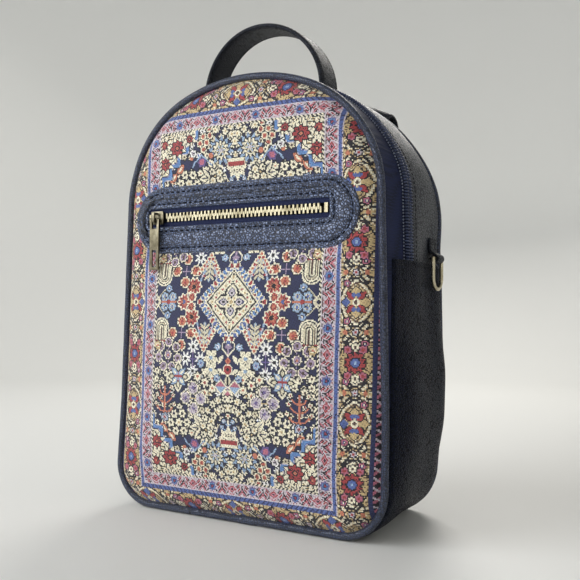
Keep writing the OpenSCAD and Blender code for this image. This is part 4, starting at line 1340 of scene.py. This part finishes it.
def stripPuff(t, z, run):
    return zipStrip["puff"] * math.sin(math.pi * min(max(t, 0), 1)) ** zipStrip["bow"]


def flatTape(t, z, run):
    return 0.0


sTop = runToHeight(bag["gussetTop"])
low = sTop - gusset["under"]
bandLow = runToHeight(gusset["awayUp"][0])
zipFrom, zipTo = bag["zipIn"] - bag["zipGap"] / 2, bag["zipIn"] + bag["zipGap"] / 2
place(wallStrip("lowerGusset", -sTop, sTop, gussetFront, backDepth, gusset, gussetPuff, gussetLeatherPaintedShade),
      "bag", "navy_leather", "lower_gusset")
place(wallStrip("zipBandFront", bandLow, total - bandLow, bag["seamGap"], zipFrom + zipBand["over"], zipBand, bandPuff,
                zipTapeCloth), "bag", "navy_tape", "zip_strip_front")
place(wallStrip("zipStripBack", low, total - low, zipTo, backDepth, zipStrip, stripPuff, stripLeatherPaintedSheen),
      "bag", "navy_leather", "zip_strip_back")
tapeFrom, tapeTo = zipFrom - zipTape["reach"], zipTo + zipTape["reach"]
place(wallStrip("mainZipTape", low, total - low, tapeFrom, tapeTo, zipTape, flatTape, zipTapeCloth),
      "bag", "navy_tape", "main_zip_tape")

coil = dict(pitch=2.0, width=4.3, height=2.1, wire=0.58, side=2.6, inset=0.95, ends=0.6)


def zipRow(depth, inset, ends=1):
    # a line along the wall over the arch, from one end of the gusset to the other
    s0, s1 = sTop + ends, total - sTop - ends
    p, n = outlineAt(np.linspace(s0, s1, int(abs(s1 - s0) / wall["step"]) + 2))
    x, z = (p - inset * n).T
    return pointsAt(spread(x, z, depth), yFront + depth, z), pointsAt(n[:, 0], 0.0, n[:, 1])


coilRows = [zipRow(bag["zipIn"] + side * coil["side"], coil["inset"], coil["ends"]) for side in (-1, 1)]
zipCoil = runTree("mainZipCoil", coilTree, coilRows, coilNylonPaintedGlint, coil, "Pitch", "Width", "Height", "Wire")
place(zipCoil, "bag", "navy_coil", "main_zip_coil")
print("walls and zip coil are made")


# pocket patch: two rolled edges with a stitched groove along each; rows of distance from the edge and height
patchShape = dict(straight=70, bend=26, corner=2.2, outerStitch=4.1, windowStitch=3.4, wave=0.12, waveSize=26,
                  outer=[(0.0, 0.15), (0.15, 0.8), (0.6, 1.4), (1.4, 1.75), (2.4, 1.85), (3.1, 1.55),
                         (3.7, 0.95), (4.1, 0.6), (4.5, 0.95), (5.1, 1.7), (6.2, 2.1), (8.4, 2.3)],
                  window=[(7.4, 2.3), (5.4, 2.1), (4.4, 1.7), (3.8, 0.95), (3.4, 0.65), (3.0, 0.95),
                          (2.4, 1.55), (1.6, 1.8), (0.9, 1.6), (0.35, 1.2), (0.1, 0.6), (0.0, 0.15)])


def roundedLoop(length, height, corner, x, z):
    half, rise = length / 2 - corner, height / 2 - corner
    m, k = patchShape["straight"], patchShape["bend"]
    quarter = math.pi / 2 * corner
    points, normals = [], []
    for turn in (1, -1):
        for i in range(m):
            points.append((x + turn * (-half + 2 * half * i / m), z - turn * height / 2))
            normals.append((0, -turn))
        for i in range(k):
            s = (2 * quarter + 2 * rise) * i / k
            a = -math.pi / 2 + s / corner if s < quarter else max(0.0, (s - quarter - 2 * rise) / corner)
            up = -rise if s < quarter else min(rise, -rise + s - quarter)
            points.append((x + turn * (half + corner * math.cos(a)), z + turn * (up + corner * math.sin(a))))
            normals.append((turn * math.cos(a), turn * math.sin(a)))
    return np.array(points), np.array(normals)


patchLoop = roundedLoop(patch["length"], patch["height"], patch["height"] / 2, patch["x"], patch["z"])
windowLoop = roundedLoop(patch["windowLength"], patch["windowHeight"], patchShape["corner"], patch["windowX"],
                         patch["windowZ"])


def makePatch():
    def wave(x, z):
        return ripple((x, 0, z), patchShape["waveSize"], patchShape["wave"])
    rings = []
    for po, no, pi, ni in zip(*patchLoop, *windowLoop):
        ring = [(po - o * no, h) for o, h in patchShape["outer"]]
        ring += [(pi + o * ni, h) for o, h in patchShape["window"]] + [(pi, 0.0), (po, 0.0)]
        rings.append([(x, patch["faceY"] - h - wave(x, z) * min(h, 1), z) for (x, z), h in ring])
    return loft("pocketPatch", rings, patchLeatherPaintedHighlight, closed=True)


place(makePatch(), "bag", "navy_leather", "pocket_patch")
patchStitch = dict(pitch=4.7, length=3.5, thick=1.2, outerLift=0.95, windowLift=1.0)


def patchRow(loop, out, lift):
    x, z = (loop[0] + out * loop[1]).T
    return pointsAt(x, patch["faceY"] - lift, z), (0.0, -1.0, 0.0), True


sew("patchStitches", [patchRow(patchLoop, -patchShape["outerStitch"], patchStitch["outerLift"]),
                      patchRow(windowLoop, patchShape["windowStitch"], patchStitch["windowLift"])],
    patchStitch, navyThread, "navy_leather")

pocketTape = dict(width=9.0, thick=0.7, zOff=7.5, half=75, points=76, y=-57.6)
for label, side, nodes in (("Upper", 1, ["pocket_zip_tape"]), ("Lower", -1, [])):
    xs = np.linspace(-pocketTape["half"], pocketTape["half"], pocketTape["points"])
    path = pointsAt(xs, pocketTape["y"], patch["windowZ"] + side * pocketTape["zOff"])
    tape = strapSolid("pocketTape" + label, path, (0, 0, 1), pocketTape, zipTapeCloth, crown=0.0, groove=0.0)[0]
    place(tape, "bag", "navy_tape", *nodes)

# seam stitches on the strips and the gusset's folded ends
coilStitch = dict(pitch=2.1, length=1.4, thick=0.95, side=5.6, inset=1.9, rearIn=1.6, rearInset=2.75)
coilSeams = [zipRow(bag["zipIn"] + side * coilStitch["side"], coilStitch["inset"]) for side in (-1, 1)]
coilSeams += [zipRow(zipTo - coilStitch["rearIn"], coilStitch["rearInset"])]
sew("coilStitches", coilSeams, coilStitch, paleThreadPaintedGlint, "navy_tape")
seamStitch = dict(pitch=3.0, length=2.3, thick=0.62, past=2.6, inset=0.75, foldIn=3.2, foldFrom=3.4, foldTo=2,
                  sunk=0.05)
seamRows = [zipRow(zipTo + seamStitch["past"], seamStitch["inset"])]
for side in (-1, 1):
    (px, pz), (nx, nz) = outlineAt(side * (sTop - seamStitch["foldIn"]))
    front, rear = gussetFront(pz), backDepth(pz)
    d = np.linspace(front + seamStitch["foldFrom"], rear - seamStitch["foldTo"], 40)
    lift = np.array([gussetPuff((q - front) / (rear - front), pz, 0) for q in d]) - seamStitch["sunk"]
    seamRows.append((pointsAt(spread(px + lift * nx, pz, d), yFront + d, pz + lift * nz), (nx, 0, nz)))
sew("seamStitches", seamRows, seamStitch, navyThread, "navy_leather")
print("pocket patch and seams are made")


# handle
handle = dict(width=25, thick=3.0, half=52, rise=52, yMid=7.5, bow=0.8, leanX=-19.0, leanOver=58, footX=-15.5,
              footZ=297.0, points=72, legPoints=8, crestFrom=215, sunk=4)


def makeHandle():
    r = handle["half"] - handle["thick"] / 2
    zc = bag["height"] + handle["rise"] - handle["half"]
    crest = outline["p"][:outline["half"]]
    crest = crest[crest[:, 1] > handle["crestFrom"]]

    def legFrom(x):
        seat = np.interp(-abs(x), -crest[:, 0], crest[:, 1]) - handle["sunk"]
        return np.linspace(seat, zc, handle["legPoints"])
    legRight, legLeft = legFrom(r + handle["footX"]), legFrom(-r + handle["footX"])
    arc = np.linspace(0, math.pi, handle["points"])
    pts = [(r, z) for z in legRight[:-1]] + [(r * math.cos(a), zc + r * math.sin(a)) for a in arc]
    pts = np.array(pts + [(-r, z) for z in legLeft[-2::-1]])
    f = np.clip((pts[:, 1] - handle["footZ"]) / handle["leanOver"], 0, 1)
    x = pts[:, 0] + handle["footX"] * (1 - f) + handle["leanX"] * f
    path = pointsAt(x, handle["yMid"] + handle["bow"] * np.sin(f * 3), pts[:, 1])
    obj, normal, across = strapSolid("carryHandle", path, (0, 1, 0), handle, strapLeather)
    return obj, edgeRows(path, across, normal, handle)


handleStrap, strapRows = makeHandle()
place(handleStrap, "bag", "navy_leather", "handle")


# shoulder straps, their doubled layers, tabs and rings
strap = dict(x=54, width=28, thick=2.6, y=57.5, tabZ=4.2, dropZ=21.2, adjusterTop=117.0, slope=-0.42,
             slopeUp=(245, 288), groove=0.5, sink=0.42, foldIn=21, foldGap=3.3, bendR=1.65, tail=38, bow=1.2,
             layerGap=0.3, layerPoints=40)
sides = (("right", 1), ("left", -1))
cosB, sinB = math.cos(backTilt), math.sin(backTilt)
_, foldY, foldZ = onBack(0, bag["height"] - strap["foldIn"], strap["foldGap"] + strap["thick"] / 2)
strapMidY = strap["y"] + strap["thick"] / 2
foldR = (strapMidY - foldY) / (1 + cosB)
foldCy, foldCz = foldY + foldR * cosB, foldZ + foldR * sinB
returnMidY = strap["y"] + strap["thick"] + 2 * strap["bendR"] + strap["thick"] / 2


def bend(cy, cz, r, *angles):
    return [(cy + r * math.cos(a), cz + r * math.sin(a)) for a in np.linspace(*angles)]


def slopePoints(points, side):
    # the folded top follows the arch, so its outer corner lies lower
    points = np.array(points, float)
    x, z = points[:, 0], points[:, 2]
    points[:, 2] += strap["slope"] * (side * x - strap["x"]) * smoothStep(*strap["slopeUp"], z)
    return points


def makeStrap(name, side):
    tail, drop = strap["tail"], strap["dropZ"] - foldCz
    down = [(foldY + tail * sinB * k, foldZ - tail * cosB * k) for k in np.linspace(1, 0, 12)]
    over = bend(foldCy, foldCz, foldR, math.pi + backTilt, 0, 22)[1:]
    hang = [(strapMidY + strap["bow"] * math.sin(math.pi * k), foldCz + drop * k) for k in np.linspace(0, 1, 90)][1:]
    r = strap["bendR"] + strap["thick"] / 2
    turn = bend(strapMidY + r, strap["dropZ"], r, math.pi, 2 * math.pi, 16)[1:]
    line = np.array(down + over + hang + turn)
    path = pointsAt(side * strap["x"], line[:, 0], line[:, 1])
    obj, normal, across = strapSolid(name, path, (1, 0, 0), strap, strapLeather, groove=strap["groove"])
    rows = edgeRows(path, across, normal, strap, strap["sink"])
    writePoints(obj.data, slopePoints(readPoints(obj.data), side))
    return obj, [(slopePoints(p, side), n) for p, n in rows]


for label, side in sides:
    obj, rows = makeStrap("shoulderStrap" + label.capitalize(), side)
    place(obj, "bag", "navy_leather", "strap_" + label)
    strapRows += rows
    zs = np.linspace(strap["dropZ"] + strap["layerGap"], strap["adjusterTop"], strap["layerPoints"])
    path = pointsAt(side * strap["x"], returnMidY, zs)
    layer = strapSolid("strapLayer" + label.capitalize(), path, (1, 0, 0), strap, strapLeather)[0]
    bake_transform(layer)
    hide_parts("strap_return_" + label)

sew("strapStitches", strapRows, dict(pitch=3.6, length=2.6, thick=0.6), navyThread, "navy_leather")
print("handle and straps are made")


# leather tabs at the side rings and the lower rings
sideTab = dict(width=11.6, thick=1.7, ringZ=180.0, ringX=111.511, ringY=25.013, wrap=2.3, turn=(2.0, -2.1, 18),
               root={1: 107.6, -1: 106.1}, stitchUp=(7.5, 13.2, 8), stitchOut=0.65, stitchHalf=4.1,
               over=[(-0.45, 14), (-0.3, 10), (-0.1, 6.6), (0.9, 4.3), (3.2, 2.9)],
               under=[(3.0, -0.2), (1.4, 0.2), (0.4, -0.4)])
lowerTab = dict(width=26, thick=1.9, wrap=2.6, turn=(2.3, -2.6, 18), sole=(30, 15, 8), soleLift=4.25,
                over=[(54.3, 11.0), (55.2, 8.2), (57.0, 6.8)], under=[(57.6, 4.4), (56.4, 5.2)])
# cross seams on the back: height, half length and lift
crossSeams = ((18.5, 10, 5.35), (27.5, 10, 5.35), (251.0, 11, 6.1), (272.0, 11, 6.1))


def makeSideTab(name, side):
    x0, z0 = sideTab["root"][side], sideTab["ringZ"]
    over, under = ([(x0 + a, z0 + b) for a, b in sideTab[part]] for part in ("over", "under"))
    line = evenPath(over + bend(sideTab["ringX"], z0, sideTab["wrap"], *sideTab["turn"]) + under)
    path = pointsAt(side * line[:, 0], sideTab["ringY"], line[:, 1])
    return strapSolid(name, path, (0, 1, 0), sideTab, strapLeather, crown=0.1, groove=0.12, stitchIn=1.7)[0]


def makeLowerTab(name, side):
    y = strap["y"] + strap["thick"] + strap["bendR"]
    sole = onBack(0, np.linspace(*lowerTab["sole"]), lowerTab["soleLift"])[:, 1:].tolist()
    turn = bend(y, strap["tabZ"], lowerTab["wrap"], *lowerTab["turn"])
    line = evenPath(sole + lowerTab["over"] + turn + lowerTab["under"])
    path = pointsAt(side * strap["x"], line[:, 0], line[:, 1])
    return strapSolid(name, path, (1, 0, 0), lowerTab, strapLeather, groove=0.15)[0]


tabRows = []
for label, side in sides:
    place(makeSideTab("sideTab" + label.capitalize(), side), "bag", "navy_leather", "side_tab_" + label)
    x = side * (sideTab["root"][side] + sideTab["stitchOut"])
    zs = sideTab["ringZ"] + np.linspace(*sideTab["stitchUp"])
    for edge in (-1, 1):
        tabRows.append((pointsAt(x, sideTab["ringY"] + edge * sideTab["stitchHalf"], zs), (side, 0, 0)))
for label, side in sides:
    place(makeLowerTab("lowerTab" + label.capitalize(), side), "bag", "navy_leather", "strap_tab_" + label)
    for z, half, lift in crossSeams:
        tabRows.append((onBack(side * strap["x"] + np.linspace(-half, half, 12), z, lift), (0, 1, 0)))
sew("tabStitches", tabRows, dict(pitch=2.6, length=1.9, thick=0.55), navyThread, "navy_leather")


# metal: softened copies where the edges show; the plain nodes take a finish as they are
metalEdge = dict(weld=1e-6, level=0.02, sharp=0.6, segments=2, smooth=math.radians(40))
# node and width of its softened edges
metalCopies = dict(pocketSlider=("pocket_slider", 0.3), pocketPuller=("pocket_puller", 0.32),
                   mainSlider=("main_slider", 0.3), mainPuller=("main_puller", 0.32),
                   adjusterRight=("adjuster_right", 0.4), adjusterLeft=("adjuster_left", 0.4))


def nodeCopy(name, node):
    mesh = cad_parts[node].data.copy()
    mesh.materials.clear()
    mesh.name = name
    return mesh


def softenedCopy(name, node, width):
    mesh = nodeCopy(name, node)
    bm = bmesh.new()
    bm.from_mesh(mesh)
    bmesh.ops.remove_doubles(bm, verts=bm.verts, dist=metalEdge["weld"])
    bmesh.ops.dissolve_limit(bm, angle_limit=metalEdge["level"], verts=bm.verts, edges=bm.edges)
    sharp = [e for e in bm.edges if len(e.link_faces) == 2 and e.calc_face_angle(0) > metalEdge["sharp"]]
    bmesh.ops.bevel(bm, geom=sharp, offset=width * mm, segments=metalEdge["segments"], profile=0.5, affect="EDGES",
                    clamp_overlap=True)
    bmesh.ops.triangulate(bm, faces=[f for f in bm.faces if len(f.verts) > 4])
    bm.to_mesh(mesh)
    bm.free()
    mesh.shade_smooth()
    mesh.set_sharp_from_angle(angle=metalEdge["smooth"])
    return addObject(name, mesh, darkBrassPaintedShade)


def drawnCopy(name, node, material):
    # an inner piece that follows the filled shape of the bag round it
    mesh = nodeCopy(name, node)
    points = readPoints(mesh)
    points[:, 0] = spread(points[:, 0], points[:, 2], points[:, 1] - yFront)
    writePoints(mesh, points)
    return addObject(name, mesh, material)


for name, (node, width) in metalCopies.items():
    place(softenedCopy(name, node, width), node, "antique_gold", node)
place(drawnCopy("innerLining", "lining", liningCloth), "bag", "lining_cloth", "lining")
place(drawnCopy("baseBoard", "base_board", boardFinish), "bag", "stiff_board", "base_board")

plainNodes = ((teethBrassPaintedShade, ("pocket_teeth_upper", "pocket_teeth_lower", "pocket_zip_stops")),
              (antiqueGold, ("side_ring_right", "side_ring_left", "strap_ring_right", "strap_ring_left")),
              (liningCloth, ("pocket_pouch",)))
for finish, nodes in plainNodes:
    for node in nodes:
        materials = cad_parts[node].data.materials
        if not materials:
            materials.append(finish)
        for k in range(len(materials)):
            materials[k] = finish
print("metal and inner pieces are finished")
